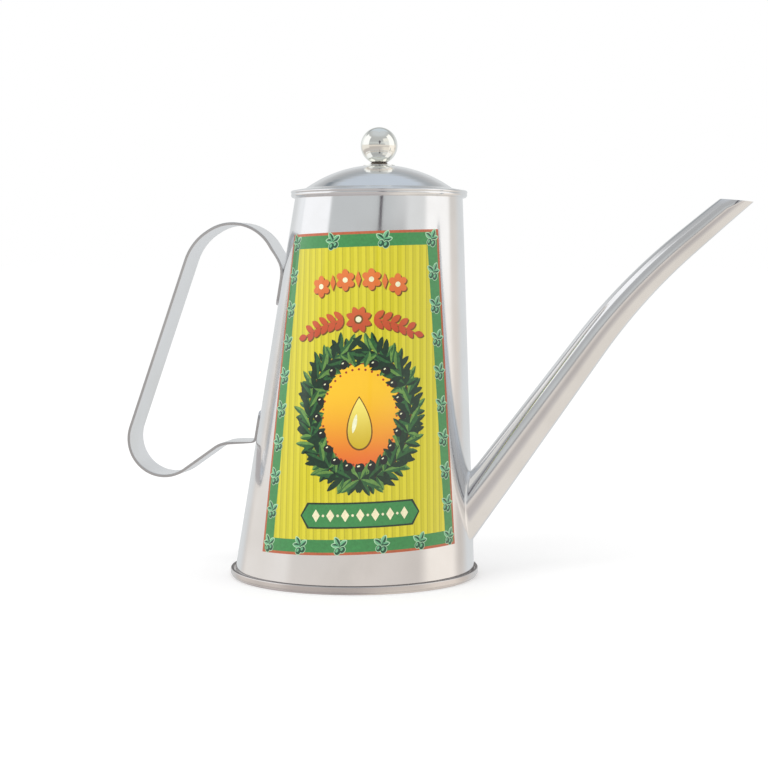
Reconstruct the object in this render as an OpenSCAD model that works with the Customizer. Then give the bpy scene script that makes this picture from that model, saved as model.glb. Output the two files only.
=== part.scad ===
// Oil can with a leaning conical body, a long bent pouring spout, a strap handle and a lift-off lid.
// The origin is the centre of the base on the surface that the can stands on.
// +Z is up, +X points to the spout, -X to the handle and -Y to the printed front.
// Measures are in millimetres and angles in degrees.

/* [Body] */
// Outer diameter of the wall where it meets the standing surface
base_d = 104.8; // [96:0.1:116]
// Outer diameter of the wall at the mouth
mouth_d = 71.9; // [68:0.1:78]
// Height of the middle of the mouth's rolled bead
mouth_h = 164.5; // [156:0.5:176]
// Lean of the wall's axis toward the spout
lean = 3.8; // [0:0.1:5]
// Thickness of the wall's sheet
wall_t = 0.6; // [0.4:0.05:0.9]
// Thickness of the rolled bead round the mouth
bead_d = 2.4; // [1.8:0.1:3.2]

/* [Base] */
// How far the base seam stands out from the foot of the wall
seam_out = 1.6; // [1.2:0.1:2.4]
// Width of the base seam inside the wall
seam_in = 1.2; // [0.8:0.1:2]
// Height of the base seam
seam_h = 3.5; // [3:0.1:5]
// Sheet left below the foot of the wall, where the seam is folded under it
seam_floor = 0.7; // [0.5:0.1:1]
// Rounding of the seam's lower outer edge
seam_low_round = 1; // [0.6:0.1:1.4]
// Rounding of the seam's upper outer edge
seam_top_round = 0.6; // [0.3:0.1:0.7]
// Height of the hollow under the base panel
base_recess = 2.9; // [2:0.1:3.4]
// Thickness of the base panel
base_t = 0.6; // [0.4:0.05:0.9]

/* [Spout] */
// Height at which the spout's centre line meets the wall
spout_root_h = 30.6; // [26:0.1:36]
// Rise of the spout's straight lower part above level
spout_rise = 54.1; // [50:0.1:58]
// Length of the straight lower part, from the wall
spout_straight = 86.6; // [70:0.2:96]
// Radius of the bend, on the centre line
spout_bend_r = 250; // [180:5:300]
// Rise of the last part above level
tip_rise = 40.6; // [36:0.1:46]
// Height of the middle of the open tip
tip_h = 161.4; // [156:0.2:166]
// Slope of the tip's cut, falling away from the can
tip_cut = 5.5; // [0:0.5:12]
// Outer diameter of the spout at the wall
spout_root_d = 18.3; // [16:0.1:20]
// Outer diameter of the spout at the tip
spout_tip_d = 10; // [8:0.1:12]
// Thickness of the spout's sheet
spout_t = 0.6; // [0.4:0.05:0.9]
// How far the spout's soldered foot spreads on the wall
spout_flare = 0.9; // [0.4:0.1:1.4]
// Ledge of wall left inside the spout, round the hole that feeds it
feed_ledge = 0.4; // [0.2:0.1:1]

/* [Handle] */
// Width of the handle's strap
strap_w = 18; // [14:0.5:22]
// Thickness of the handle's strap
strap_t = 1.2; // [1:0.1:1.6]
// Height at which the strap leaves the wall above the upper tab
leave_h = 130; // [122:0.5:136]
// Length of the upper tab, below that height
upper_tab_l = 13; // [10:0.5:18]
// Rise from there to the corner at the top of the arch
arch_rise = 32.8; // [32:0.2:36]
// Distance of that corner from the wall
arch_near_out = 15.3; // [13.5:0.1:16]
// Drop from that corner to the one where the arch turns down
arch_drop = 18; // [16:0.2:20]
// Distance of the second corner from the wall
arch_far_out = 42.4; // [41.6:0.2:48]
// Height of the corner of the lower turn
turn_h = 15.3; // [12:0.1:18]
// Distance of that corner from the wall
turn_out = 66.4; // [62:0.2:70]
// Height of the corner at the root of the lower tab
root_h = 57.6; // [50:0.1:66]
// Distance of that corner from the wall
root_out = 1.7; // [1.4:0.1:2.2]
// Length of the lower tab, above that corner
lower_tab_l = 13.4; // [11:0.2:18]
// Drop from that corner to the one where the strap levels out under the grip
dip_drop = 0.9; // [0:0.1:3]
// Distance of the second corner from the wall
dip_out = 15; // [13.5:0.1:17]
// How far the middle of the flat strap is pressed onto the wall where it leaves it
strap_press = 0.15; // [0.1:0.05:0.3]
// Length of strap that lies over the lower tab, past its bend
tab_lap = 1; // [0.5:0.5:3]
// Rounding of the tabs' corners
tab_round = 4; // [2:0.5:6]
// Bend radius where the strap leaves the wall
leave_r = 5; // [3:0.5:12]
// Bend radius at the top of the arch
arch_near_r = 19.5; // [14:0.5:20]
// Bend radius where the arch turns down
arch_far_r = 23.4; // [16:0.2:25]
// Bend radius of the lower turn
turn_r = 16.1; // [13:0.1:18]
// Bend radius of the dip
dip_r = 5.2; // [4:0.1:10]
// Bend radius at the root of the lower tab
root_r = 5; // [3.5:0.1:6]

/* [Label] */
// Width of the label's top edge, seen from the front
label_top_w = 61.6; // [50:0.2:64]
// Width of the label's bottom edge, seen from the front
label_low_w = 78.4; // [60:0.2:82]
// Gap from the label's top edge up to the middle of the mouth bead
label_head_gap = 16.1; // [10:0.1:30]
// Gap from the base seam up to the label's bottom edge
label_foot_gap = 12.7; // [8:0.1:30]
// Shift of the label's middle toward the spout
label_shift = 3.6; // [-4:0.1:5]
// Turn of the label, counter-clockwise seen from the front
label_turn = 2; // [0:0.1:4]
// How far the label's top edge lies toward the spout over its bottom edge, before that turn
label_skew = 5.9; // [0:0.1:7]
// Thickness of the label's sheet
label_t = 0.25; // [0.15:0.05:0.4]

/* [Lid] */
// Thickness of the lid's sheet
lid_t = 0.6; // [0.4:0.05:0.9]
// How far the lid's brim reaches past the mouth bead
brim_over = 0.1; // [0:0.1:1]
// Outer diameter of the dome at its foot
dome_d = 62; // [54:0.2:64]
// Height of the dome above its foot
dome_h = 9.7; // [7:0.1:14]
// Height of the step between the brim and the dome's foot
step_h = 1.5; // [1:0.1:3]
// Gap between the closed lid's brim and the mouth bead
seat_gap = 0.1; // [0.05:0.05:0.3]
// Depth of the lid's locating ring below the brim
skirt_h = 7.3; // [5:0.1:12]
// Thickness of the locating ring's sheet
skirt_t = 0.5; // [0.4:0.05:0.8]
// Gap between the locating ring and the mouth, all round
skirt_gap = 0.4; // [0.2:0.05:0.8]
// Width of the ring's flange that is welded under the brim
flange_w = 3; // [2:0.1:3.4]

/* [Knob] */
// Diameter of the knob's ball
ball_d = 15.8; // [12:0.1:20]
// Diameter of the flat on which the ball stands
ball_flat_d = 6; // [5.6:0.1:8]
// Diameter of the flared collar under the ball
collar_d = 13.5; // [11:0.1:16]
// Diameter of the collar's top
collar_top_d = 6.6; // [6.2:0.1:8]
// Height of the collar above the top of the dome
collar_h = 0.9; // [0.7:0.1:2]
// Thickness of the collar's edge above the dome
collar_edge = 0.3; // [0.2:0.05:0.4]
// Radius of the collar's hollow flare
flare_r = 5; // [4.2:0.1:8]
// Diameter of the screw that holds the knob
screw_d = 3.2; // [2.8:0.1:4]
// Diameter of the holes that the screw passes, over its own
screw_slack = 0.8; // [0.4:0.1:1]
// Gap between the screw and the hole tapped in the ball
tap_gap = 0.05; // [0.02:0.01:0.08]
// Length of screw inside the ball
screw_grip = 6; // [4:0.5:8]
// Depth of the tapped hole past the screw's end
tap_spare = 1.5; // [1:0.5:2]
// Diameter of the screw's head
head_d = 7.2; // [6:0.2:8]
// Height of the screw's head
head_h = 2.2; // [1.8:0.1:3]
// Width of the driver slot in the screw's head
slot_w = 1; // [0.8:0.1:1.4]
// Depth of the driver slot
slot_h = 1; // [0.6:0.1:1.2]
// Outer diameter of the washer under the dome
washer_d = 10; // [9:0.5:14]
// Thickness of the washer
washer_t = 0.8; // [0.5:0.1:1.2]

/* [Hidden] */
steel = "silver";
$fn = 96;

// Widening of the wall for each millimetre of height, and the height of the cone's apex
taper = (base_d - mouth_d) / 2 / mouth_h;
apex_h = base_d / 2 / taper;
// Half angle of the cone whose level sections have the widths above although its axis leans
taper_angle = atan(taper);
half_angle = (taper_angle + asin(taper * cos(2 * lean) * cos(taper_angle))) / 2;
// Sideways shift of the level sections for each millimetre of height
drift = (tan(lean + half_angle) + tan(lean - half_angle)) / 2;
apex_x = apex_h * drift;
function wall_x(h) = h * drift;
function wall_r(h) = (apex_h - h) * taper;
function wall_left(h) = wall_x(h) - wall_r(h);
function wall_right(h) = wall_x(h) + wall_r(h);

// Spare length that carries a cutting shape clear of what it cuts
past = 20;
mouth_x = wall_x(mouth_h);
bead_r = mouth_d / 2 - wall_t / 4 * 3 + bead_d / 2;
bead_out_r = bead_r + bead_d / 2;
seam_r = base_d / 2 + seam_out;
seam_in_r = base_d / 2 - wall_t - seam_in;

// Heights and radii of the lid's levels
brim_low = mouth_h + bead_d / 2 + seat_gap;
brim_top = brim_low + lid_t;
brim_r = bead_out_r + brim_over;
dome_foot = brim_top + step_h;
dome_top = dome_foot + dome_h;
dome_r = (dome_d * dome_d / 4 + dome_h * dome_h) / 2 / dome_h;
dome_centre = dome_top - dome_r;
function dome_under(r) = dome_centre + sqrt(pow(dome_r - lid_t, 2) - r * r);
skirt_r = mouth_d / 2 - wall_t - skirt_gap;

// Heights of the knob's pieces
collar_top = dome_top + collar_h;
ball_centre = collar_top + sqrt(ball_d * ball_d - ball_flat_d * ball_flat_d) / 2;
pass_r = (screw_d + screw_slack) / 2;
washer_top = dome_under(washer_d / 2);
washer_low = washer_top - washer_t;
head_low = washer_low - head_h;
screw_top = collar_top + screw_grip;

// Spout centre line: a straight part, a bend and a last straight part, in the plane of the can's middle
spout_root = [wall_right(spout_root_h), spout_root_h];
bend_angle = spout_rise - tip_rise;
bend_start = spout_root + spout_straight * [cos(spout_rise), sin(spout_rise)];
bend_centre = bend_start + spout_bend_r * [sin(spout_rise), -cos(spout_rise)];
bend_length = spout_bend_r * bend_angle * PI / 180;
bend_end = bend_centre + spout_bend_r * [-sin(tip_rise), cos(tip_rise)];
tip_straight = (tip_h - bend_end[1]) / sin(tip_rise);
spout_length = spout_straight + bend_length + tip_straight;
function spout_angle(s) =
    s < spout_straight ? spout_rise :
    s > spout_straight + bend_length ? tip_rise :
    spout_rise - bend_angle * (s - spout_straight) / bend_length;
function spout_point(s) =
    s < spout_straight ? spout_root + s * [cos(spout_rise), sin(spout_rise)] :
    s > spout_straight + bend_length
        ? bend_end + (s - spout_straight - bend_length) * [cos(tip_rise), sin(tip_rise)] :
    bend_centre + spout_bend_r * [-sin(spout_angle(s)), cos(spout_angle(s))];
function spout_r(s) = (spout_root_d + (spout_tip_d - spout_root_d) * s / spout_length) / 2;

// Rings of the spout's surface
spout_sides = 32;
bend_rings = 9;
foot_clear = spout_root_d / 2 * tan(spout_rise) + 3;
tip_clear = spout_tip_d / 2 / tan(tip_rise + tip_cut) + 1.5;
spout_rings = concat(
    [foot_clear],
    [for (i = [0:bend_rings]) spout_straight + bend_length * i / bend_rings],
    [spout_length - tip_clear]
);
// A point of the spout's surface, at radius r and angle turn round the centre line, slid along by more
function on_spout(s, r, turn, more = 0) =
    let (a = spout_angle(s), p = spout_point(s) + more * [cos(a), sin(a)])
    [p[0] - r * cos(turn) * sin(a), r * sin(turn), p[1] + r * cos(turn) * cos(a)];
// How far a point has to slide along the spout's lower part to lie on the wall's outer surface
function slide_to_wall(r, turn) =
    let (
        p = on_spout(0, r, turn),
        q = [p[0] - apex_x, p[1], p[2] - apex_h],
        along = [cos(spout_rise), 0, sin(spout_rise)],
        axis = [sin(lean), 0, cos(lean)],
        c2 = pow(cos(half_angle), 2),
        qa = q * axis,
        da = along * axis,
        a = da * da - c2,
        b = 2 * (qa * da - c2 * (q * along)),
        c = qa * qa - c2 * (q * q),
        root = sqrt(b * b - 4 * a * c),
        low = (-b - root) / 2 / a,
        high = (-b + root) / 2 / a
    )
    abs(low) < abs(high) ? low : high;
// How far a point has to slide along the spout's last part to lie on the tip's cut
function slide_to_cut(r, turn) =
    let (
        p = on_spout(spout_length, r, turn),
        tip = spout_point(spout_length),
        normal = [sin(tip_cut), cos(tip_cut)],
        gap = (p[0] - tip[0]) * normal[0] + (p[2] - tip[1]) * normal[1]
    )
    -gap / (cos(tip_rise) * normal[0] + sin(tip_rise) * normal[1]);
function foot_ring(r, rise) =
    [for (i = [0:spout_sides - 1]) let (turn = i * 360 / spout_sides)
        on_spout(0, r, turn, slide_to_wall(r, turn) + rise)];
function spout_ring(s, inset) =
    [for (i = [0:spout_sides - 1]) on_spout(s, spout_r(s) - inset, i * 360 / spout_sides)];
function tip_ring(r) =
    [for (i = [0:spout_sides - 1]) let (turn = i * 360 / spout_sides)
        on_spout(spout_length, r, turn, slide_to_cut(r, turn))];
foot_r = spout_root_d / 2;
tip_r = spout_tip_d / 2;
// The outside from the foot to the tip, then the inside back down to the foot
spout_skin = concat(
    foot_ring(foot_r + spout_flare, 0),
    foot_ring(foot_r + spout_flare * 0.35, spout_flare),
    foot_ring(foot_r, 2.5 * spout_flare),
    [for (s = spout_rings) each spout_ring(s, 0)],
    tip_ring(tip_r),
    tip_ring(tip_r - spout_t),
    [for (i = [len(spout_rings) - 1:-1:0]) each spout_ring(spout_rings[i], spout_t)],
    foot_ring(foot_r - spout_t, 0)
);
skin_rings = len(spout_skin) / spout_sides;
// Faces between ring i and the next one, where the last ring meets the first again
spout_faces = [
    for (i = [0:skin_rings - 1], j = [0:spout_sides - 1])
        let (
            a = i * spout_sides,
            b = (i + 1) % skin_rings * spout_sides,
            k = (j + 1) % spout_sides
        )
        each [[a + j, b + j, b + k], [a + j, b + k, a + k]]
];

// Handle centre line: straight runs between corners, with a bend of its own radius at each corner
lift = (strap_t / 2 - strap_press) / cos(lean + half_angle);
upper_tab_h = leave_h - upper_tab_l;
lower_tab_h = root_h + lower_tab_l;
arch_near_h = leave_h + arch_rise;
arch_far_h = arch_near_h - arch_drop;
dip_h = root_h - dip_drop;
handle_corners = [
    [wall_left(upper_tab_h) - lift, upper_tab_h],
    [wall_left(leave_h) - lift, leave_h],
    [wall_left(arch_near_h) - arch_near_out, arch_near_h],
    [wall_left(arch_far_h) - arch_far_out, arch_far_h],
    [wall_left(turn_h) - turn_out, turn_h],
    [wall_left(dip_h) - dip_out, dip_h],
    [wall_left(root_h) - root_out, root_h],
    [wall_left(lower_tab_h) - lift, lower_tab_h]
];
handle_bends = [leave_r, arch_near_r, arch_far_r, turn_r, dip_r, root_r];
bend_step = 5;
function heading(p, q) = atan2(q[1] - p[1], q[0] - p[0]);
function wrap(a) = a - 360 * floor((a + 180) / 360);
// Points and headings along the bend at corner i, as [x, z, heading]
function bend_points(i) =
    let (
        here = handle_corners[i],
        into = heading(handle_corners[i - 1], here),
        turn = wrap(heading(here, handle_corners[i + 1]) - into),
        r = handle_bends[i - 1],
        side = sign(turn),
        back = r * tan(abs(turn) / 2),
        start = here - back * [cos(into), sin(into)],
        centre = start + side * r * [-sin(into), cos(into)],
        steps = ceil(abs(turn) / bend_step)
    )
    [for (k = [0:steps]) let (a = into + turn * k / steps)
        [centre[0] + side * r * sin(a), centre[1] - side * r * cos(a), a]];
last = len(handle_corners) - 1;
lower_heading = heading(handle_corners[last - 1], handle_corners[last]);
lower_start = handle_corners[last - 1] + (tab_lap + root_r) * [cos(lower_heading), sin(lower_heading)];
handle_line = concat(
    [for (i = [1:last - 1]) each bend_points(i)],
    [[lower_start[0], lower_start[1], lower_heading]]
);
strap_side = [for (p = handle_line) [p[0] + strap_t / 2 * sin(p[2]), p[1] - strap_t / 2 * cos(p[2])]];
strap_back = [for (p = handle_line) [p[0] - strap_t / 2 * sin(p[2]), p[1] + strap_t / 2 * cos(p[2])]];

// Label outline, seen from the front, before its turn
label_low = seam_h + label_foot_gap;
label_high = mouth_h - label_head_gap;
label_mid = (label_low + label_high) / 2;
label_x = wall_x(label_mid) + label_shift;
label_half = (label_high - label_low) / 2;

// The full cone of the body, leaning toward the spout, drawn in by inset from the wall's outer surface
module leaning_cone(inset) {
    far = (apex_h + past) / cos(lean);
    near = (apex_h - mouth_h - past) / cos(lean);
    shrink = inset / cos(half_angle);
    translate([apex_x, 0, apex_h])
        rotate([0, lean, 0])
            translate([0, 0, -far])
                cylinder(h = far - near, r1 = far * tan(half_angle) - shrink, r2 = near * tan(half_angle) - shrink);
}

// A level slab that is wider than the can, between two heights
module level_slab(low, high) {
    translate([-base_d, -base_d, low])
        cube([2 * base_d, 2 * base_d, high - low]);
}

// The body's conical sheet between two heights
module wall_sheet(low, high) {
    intersection() {
        difference() {
            leaning_cone(0);
            leaning_cone(wall_t);
        }
        level_slab(low, high);
    }
}

module body_shell() {
    color(steel)
        difference() {
            union() {
                wall_sheet(seam_floor, mouth_h);
                translate([mouth_x, 0, mouth_h])
                    rotate_extrude()
                        translate([bead_r, 0])
                            circle(d = bead_d, $fn = 32);
            }
            translate([spout_root[0], 0, spout_root[1]])
                rotate([0, 90 - spout_rise, 0])
                    translate([0, 0, -2 * past])
                        cylinder(h = 3 * past, r = foot_r - spout_t - feed_ledge);
        }
}

// Outline of the base seam and panel on one side of the axis
module base_outline() {
    straight_h = seam_h - seam_low_round - seam_top_round;
    translate([seam_in_r, 0])
        square([seam_r - seam_low_round - seam_in_r, seam_h]);
    translate([seam_r - seam_low_round - seam_top_round, seam_low_round])
        square([seam_low_round + seam_top_round, straight_h]);
    translate([seam_r - seam_low_round - seam_top_round, seam_low_round])
        square([seam_low_round, seam_h - seam_low_round]);
    translate([seam_r - seam_low_round, seam_low_round])
        circle(r = seam_low_round, $fn = 32);
    translate([seam_r - seam_top_round, seam_h - seam_top_round])
        circle(r = seam_top_round, $fn = 32);
    translate([0, base_recess])
        square([seam_in_r + seam_in / 2, base_t]);
}

module base_plate() {
    color(steel)
        difference() {
            rotate_extrude()
                base_outline();
            wall_sheet(seam_floor, seam_h + past);
        }
}

module spout() {
    color(steel)
        polyhedron(points = spout_skin, faces = spout_faces, convexity = 6);
}

// The block that cuts a strap end from a sheet on the wall, between two heights, with a rounded free end
module tab_block(fixed, free) {
    toward = sign(fixed - free);
    round_h = free + toward * tab_round;
    translate([-base_d, -strap_w / 2, min(fixed, round_h)])
        cube([base_d, strap_w, abs(fixed - round_h)]);
    translate([-base_d, tab_round - strap_w / 2, min(free, round_h)])
        cube([base_d, strap_w - 2 * tab_round, tab_round]);
    for (side = [-1, 1])
        translate([-base_d, side * (strap_w / 2 - tab_round), round_h])
            rotate([0, 90, 0])
                cylinder(h = base_d, r = tab_round, $fn = 48);
}

module handle_strap() {
    color(steel)
        difference() {
            union() {
                rotate([90, 0, 0])
                    translate([0, 0, -strap_w / 2])
                        linear_extrude(strap_w)
                            polygon(concat(strap_side, [for (i = [len(strap_back) - 1:-1:0]) strap_back[i]]));
                intersection() {
                    leaning_cone(-strap_t);
                    union() {
                        tab_block(leave_h, upper_tab_h);
                        tab_block(root_h + root_r, lower_tab_h);
                    }
                }
            }
            leaning_cone(0);
        }
}

module front_label() {
    color("gold")
        intersection() {
            difference() {
                leaning_cone(-label_t);
                leaning_cone(0);
            }
            translate([label_x, 0, label_mid])
                rotate([90, -label_turn, 0])
                    linear_extrude(base_d)
                        polygon([
                            [-label_low_w / 2 - label_skew / 2, -label_half],
                            [label_low_w / 2 - label_skew / 2, -label_half],
                            [label_top_w / 2 + label_skew / 2, label_half],
                            [-label_top_w / 2 + label_skew / 2, label_half]
                        ]);
        }
}

module lid_shell() {
    color(steel)
        translate([mouth_x, 0, 0])
            difference() {
                union() {
                    intersection() {
                        translate([0, 0, dome_centre])
                            difference() {
                                sphere(r = dome_r);
                                sphere(r = dome_r - lid_t);
                            }
                        translate([0, 0, dome_foot])
                            cylinder(h = dome_h + past, d = dome_d + past);
                    }
                    rotate_extrude() {
                        translate([dome_d / 2 - lid_t, brim_low])
                            square([lid_t, dome_foot - brim_low]);
                        translate([dome_d / 2 - lid_t, brim_low])
                            square([brim_r - lid_t / 2 - dome_d / 2 + lid_t, lid_t]);
                        translate([brim_r - lid_t / 2, brim_low + lid_t / 2])
                            circle(d = lid_t, $fn = 32);
                    }
                }
                translate([0, 0, dome_centre])
                    cylinder(h = dome_r + past, r = pass_r);
            }
}

module lid_skirt() {
    color(steel)
        translate([mouth_x, 0, 0])
            rotate_extrude() {
                translate([skirt_r - skirt_t, brim_low - skirt_h])
                    square([skirt_t, skirt_h]);
                translate([skirt_r - flange_w, brim_low - skirt_t])
                    square([flange_w, skirt_t]);
            }
}

module knob_collar() {
    edge_z = dome_centre + sqrt(dome_r * dome_r - collar_d * collar_d / 4) + collar_edge;
    top = [collar_top_d / 2, collar_top];
    edge = [collar_d / 2, edge_z];
    chord = edge - top;
    middle = (top + edge) / 2;
    rise = sqrt(flare_r * flare_r - chord * chord / 4);
    hollow = middle + rise * [-chord[1], chord[0]] / norm(chord);
    color(steel)
        translate([mouth_x, 0, 0])
            rotate_extrude()
                difference() {
                    translate([pass_r, edge_z - past])
                        square([collar_d / 2 - pass_r, collar_top - edge_z + past]);
                    translate(hollow)
                        circle(r = flare_r);
                    translate([0, dome_centre])
                        circle(r = dome_r, $fn = 720);
                }
}

module knob_ball() {
    color(steel)
        translate([mouth_x, 0, 0])
            difference() {
                translate([0, 0, ball_centre])
                    sphere(d = ball_d);
                translate([0, 0, collar_top - past])
                    cylinder(h = past, d = ball_d);
                translate([0, 0, collar_top - past])
                    cylinder(h = past + screw_grip + tap_spare, r = screw_d / 2 + tap_gap, $fn = 32);
            }
}

module knob_washer() {
    color(steel)
        translate([mouth_x, 0, washer_low])
            difference() {
                cylinder(h = washer_t, d = washer_d);
                translate([0, 0, -washer_t])
                    cylinder(h = 3 * washer_t, r = pass_r, $fn = 32);
            }
}

module knob_screw() {
    color("dimgray")
        translate([mouth_x, 0, head_low])
            difference() {
                union() {
                    cylinder(h = head_h, d = head_d);
                    cylinder(h = screw_top - head_low, d = screw_d, $fn = 32);
                }
                for (turn = [0, 90])
                    rotate([0, 0, turn])
                        translate([-head_d / 4, -slot_w / 2, -slot_h])
                            cube([head_d / 2, slot_w, 2 * slot_h]);
            }
}

body_shell();
base_plate();
spout();
handle_strap();
front_label();
lid_shell();
lid_skirt();
knob_collar();
knob_ball();
knob_washer();
knob_screw();
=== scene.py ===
"""The looks of an olive oil can with a spout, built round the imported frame.

Sizes are in millimetres, with +Z up and the spout toward +X. Each piece is scaled to metres when its
mesh is done. Turns round the can are counted from the front (-Y) toward the spout (+X).
"""
import logging
import math
from collections.abc import Callable, Sequence
from dataclasses import dataclass, field
from enum import Enum
from functools import cached_property

import bmesh
import bpy
from mathutils import Matrix, Vector


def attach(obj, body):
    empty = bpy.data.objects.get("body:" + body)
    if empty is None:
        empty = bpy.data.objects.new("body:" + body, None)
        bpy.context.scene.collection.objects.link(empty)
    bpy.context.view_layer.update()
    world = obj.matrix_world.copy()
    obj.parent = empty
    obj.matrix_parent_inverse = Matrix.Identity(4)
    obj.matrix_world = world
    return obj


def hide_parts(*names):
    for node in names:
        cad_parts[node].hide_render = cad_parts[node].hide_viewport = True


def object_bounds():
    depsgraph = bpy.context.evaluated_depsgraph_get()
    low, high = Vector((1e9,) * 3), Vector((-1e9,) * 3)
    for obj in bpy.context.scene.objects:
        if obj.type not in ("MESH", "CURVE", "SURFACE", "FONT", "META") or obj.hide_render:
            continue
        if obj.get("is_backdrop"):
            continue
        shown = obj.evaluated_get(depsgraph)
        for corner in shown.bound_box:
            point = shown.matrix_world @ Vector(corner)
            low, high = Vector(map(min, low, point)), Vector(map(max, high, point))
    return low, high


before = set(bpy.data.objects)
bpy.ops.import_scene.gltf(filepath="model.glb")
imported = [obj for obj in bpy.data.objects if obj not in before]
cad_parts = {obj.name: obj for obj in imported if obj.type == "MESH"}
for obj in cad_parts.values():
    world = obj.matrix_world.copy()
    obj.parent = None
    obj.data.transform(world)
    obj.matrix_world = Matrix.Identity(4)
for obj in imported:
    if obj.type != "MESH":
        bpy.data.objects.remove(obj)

LOG = logging.getLogger("oil_can")
MM = 0.001
UV_MM = 100.0

Colour = tuple[float, float, float]
Socket = bpy.types.NodeSocket


def swatch(red: int, green: int, blue: int) -> Colour:
    """Turns a colour as a screen shows it into the linear one that a shader takes.

    Args:
        red: Red from 0 to 255.
        green: Green from 0 to 255.
        blue: Blue from 0 to 255.

    Returns:
        The linear colour.
    """
    shares = (red / 255, green / 255, blue / 255)
    return tuple(s / 12.92 if s <= 0.04045 else ((s + 0.055) / 1.055) ** 2.4 for s in shares)


class Graph:
    """A shader tree that is written from its sources to its output."""

    def __init__(self, tree: bpy.types.NodeTree) -> None:
        """Empties the tree and keeps it."""
        self.tree = tree
        tree.nodes.clear()

    def node(self, kind: str, **settings: object) -> bpy.types.Node:
        """Adds a node and sets its options.

        Args:
            kind: The node's type.
            **settings: Options of the node, by name.

        Returns:
            The new node.
        """
        made = self.tree.nodes.new(kind)
        for name, value in settings.items():
            setattr(made, name, value)
        return made

    def feed(self, target: Socket, source: object) -> None:
        """Links a socket to the target, or sets the target to a plain value.

        Args:
            target: The input socket.
            source: Another node's output, a number or a colour.
        """
        if isinstance(source, bpy.types.NodeSocket):
            self.tree.links.new(source, target)
        elif isinstance(source, tuple) and target.type == "RGBA":
            target.default_value = (*source, 1.0)
        else:
            target.default_value = source

    def math(self, operation: str, *values: object) -> Socket:
        """Works out one sum.

        Args:
            operation: The sum's name, as the Math node has it.
            *values: Its numbers or sockets.

        Returns:
            The result's socket.
        """
        made = self.node("ShaderNodeMath", operation=operation)
        for index, value in enumerate(values):
            self.feed(made.inputs[index], value)
        return made.outputs[0]

    def rise(self, value: Socket, low: float, high: float) -> Socket:
        """A soft step from 0 below low to 1 above high.

        Args:
            value: The value that is tested.
            low: Where the step starts.
            high: Where the step ends.

        Returns:
            The step's socket.
        """
        made = self.node("ShaderNodeMapRange", interpolation_type="SMOOTHSTEP")
        self.feed(made.inputs["Value"], value)
        made.inputs["From Min"].default_value = low
        made.inputs["From Max"].default_value = high
        return made.outputs[0]

    def band(self, value: Socket, low: float, high: float, soft: float) -> Socket:
        """A soft band that is 1 between low and high and 0 outside.

        Args:
            value: The value that is tested.
            low: The band's lower edge.
            high: The band's upper edge.
            soft: The width of each edge.

        Returns:
            The band's socket.
        """
        up = self.rise(value, low - soft / 2, low + soft / 2)
        down = self.rise(value, high - soft / 2, high + soft / 2)
        return self.math("SUBTRACT", up, down)

    def ramp(self, value: Socket, stops: Sequence[tuple[float, Colour]]) -> Socket:
        """Colours a value from 0 to 1.

        Args:
            value: The value that picks the colour.
            stops: Places from 0 to 1 with their colours.

        Returns:
            The colour's socket.
        """
        made = self.node("ShaderNodeValToRGB")
        marks = made.color_ramp.elements
        while len(marks) < len(stops):
            marks.new(1.0)
        for mark, (place, colour) in zip(marks, stops):
            mark.position = place
            mark.color = (*colour, 1.0)
        self.feed(made.inputs[0], value)
        return made.outputs[0]

    def mix(self, share: object, first: object, second: object, blend: str = "MIX") -> Socket:
        """Mixes two colours.

        Args:
            share: How much of the second colour shows.
            first: The first colour.
            second: The second colour.
            blend: The blend mode.

        Returns:
            The mixed colour's socket.
        """
        made = self.node("ShaderNodeMix", data_type="RGBA", blend_type=blend)
        self.feed(made.inputs[0], share)
        self.feed(made.inputs[6], first)
        self.feed(made.inputs[7], second)
        return made.outputs[2]

    def noise(self, place: Socket, scale: float, detail: float = 3.0, stretch: Colour = (1, 1, 1)) -> Socket:
        """Cloudy noise from 0 to 1.

        Args:
            place: The coordinates, in metres.
            scale: How many clouds go in a metre.
            detail: How many finer layers it has.
            stretch: The share of the scale along each axis.

        Returns:
            The noise's socket.
        """
        turned = self.node("ShaderNodeMapping")
        self.feed(turned.inputs["Vector"], place)
        turned.inputs["Scale"].default_value = stretch
        made = self.node("ShaderNodeTexNoise")
        made.inputs["Scale"].default_value = scale
        made.inputs["Detail"].default_value = detail
        self.feed(made.inputs["Vector"], turned.outputs[0])
        return made.outputs["Fac"]


@dataclass(frozen=True)
class Finish:
    """The finish of a surface, which makes one Blender material and keeps it."""

    name: str

    def material(self) -> bpy.types.Material:
        """Makes the material, or gives the one that was made before.

        Returns:
            The material.
        """
        found = bpy.data.materials.get(self.name)
        if found is not None:
            return found
        made = bpy.data.materials.new(self.name)
        made.use_nodes = True
        graph = Graph(made.node_tree)
        shader = graph.node("ShaderNodeBsdfPrincipled")
        output = graph.node("ShaderNodeOutputMaterial")
        graph.feed(output.inputs["Surface"], shader.outputs[0])
        self.dress(graph, shader)
        return made

    def dress(self, graph: Graph, shader: bpy.types.Node) -> None:
        """Sets the shader's inputs. Each finish has its own."""
        raise NotImplementedError


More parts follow.
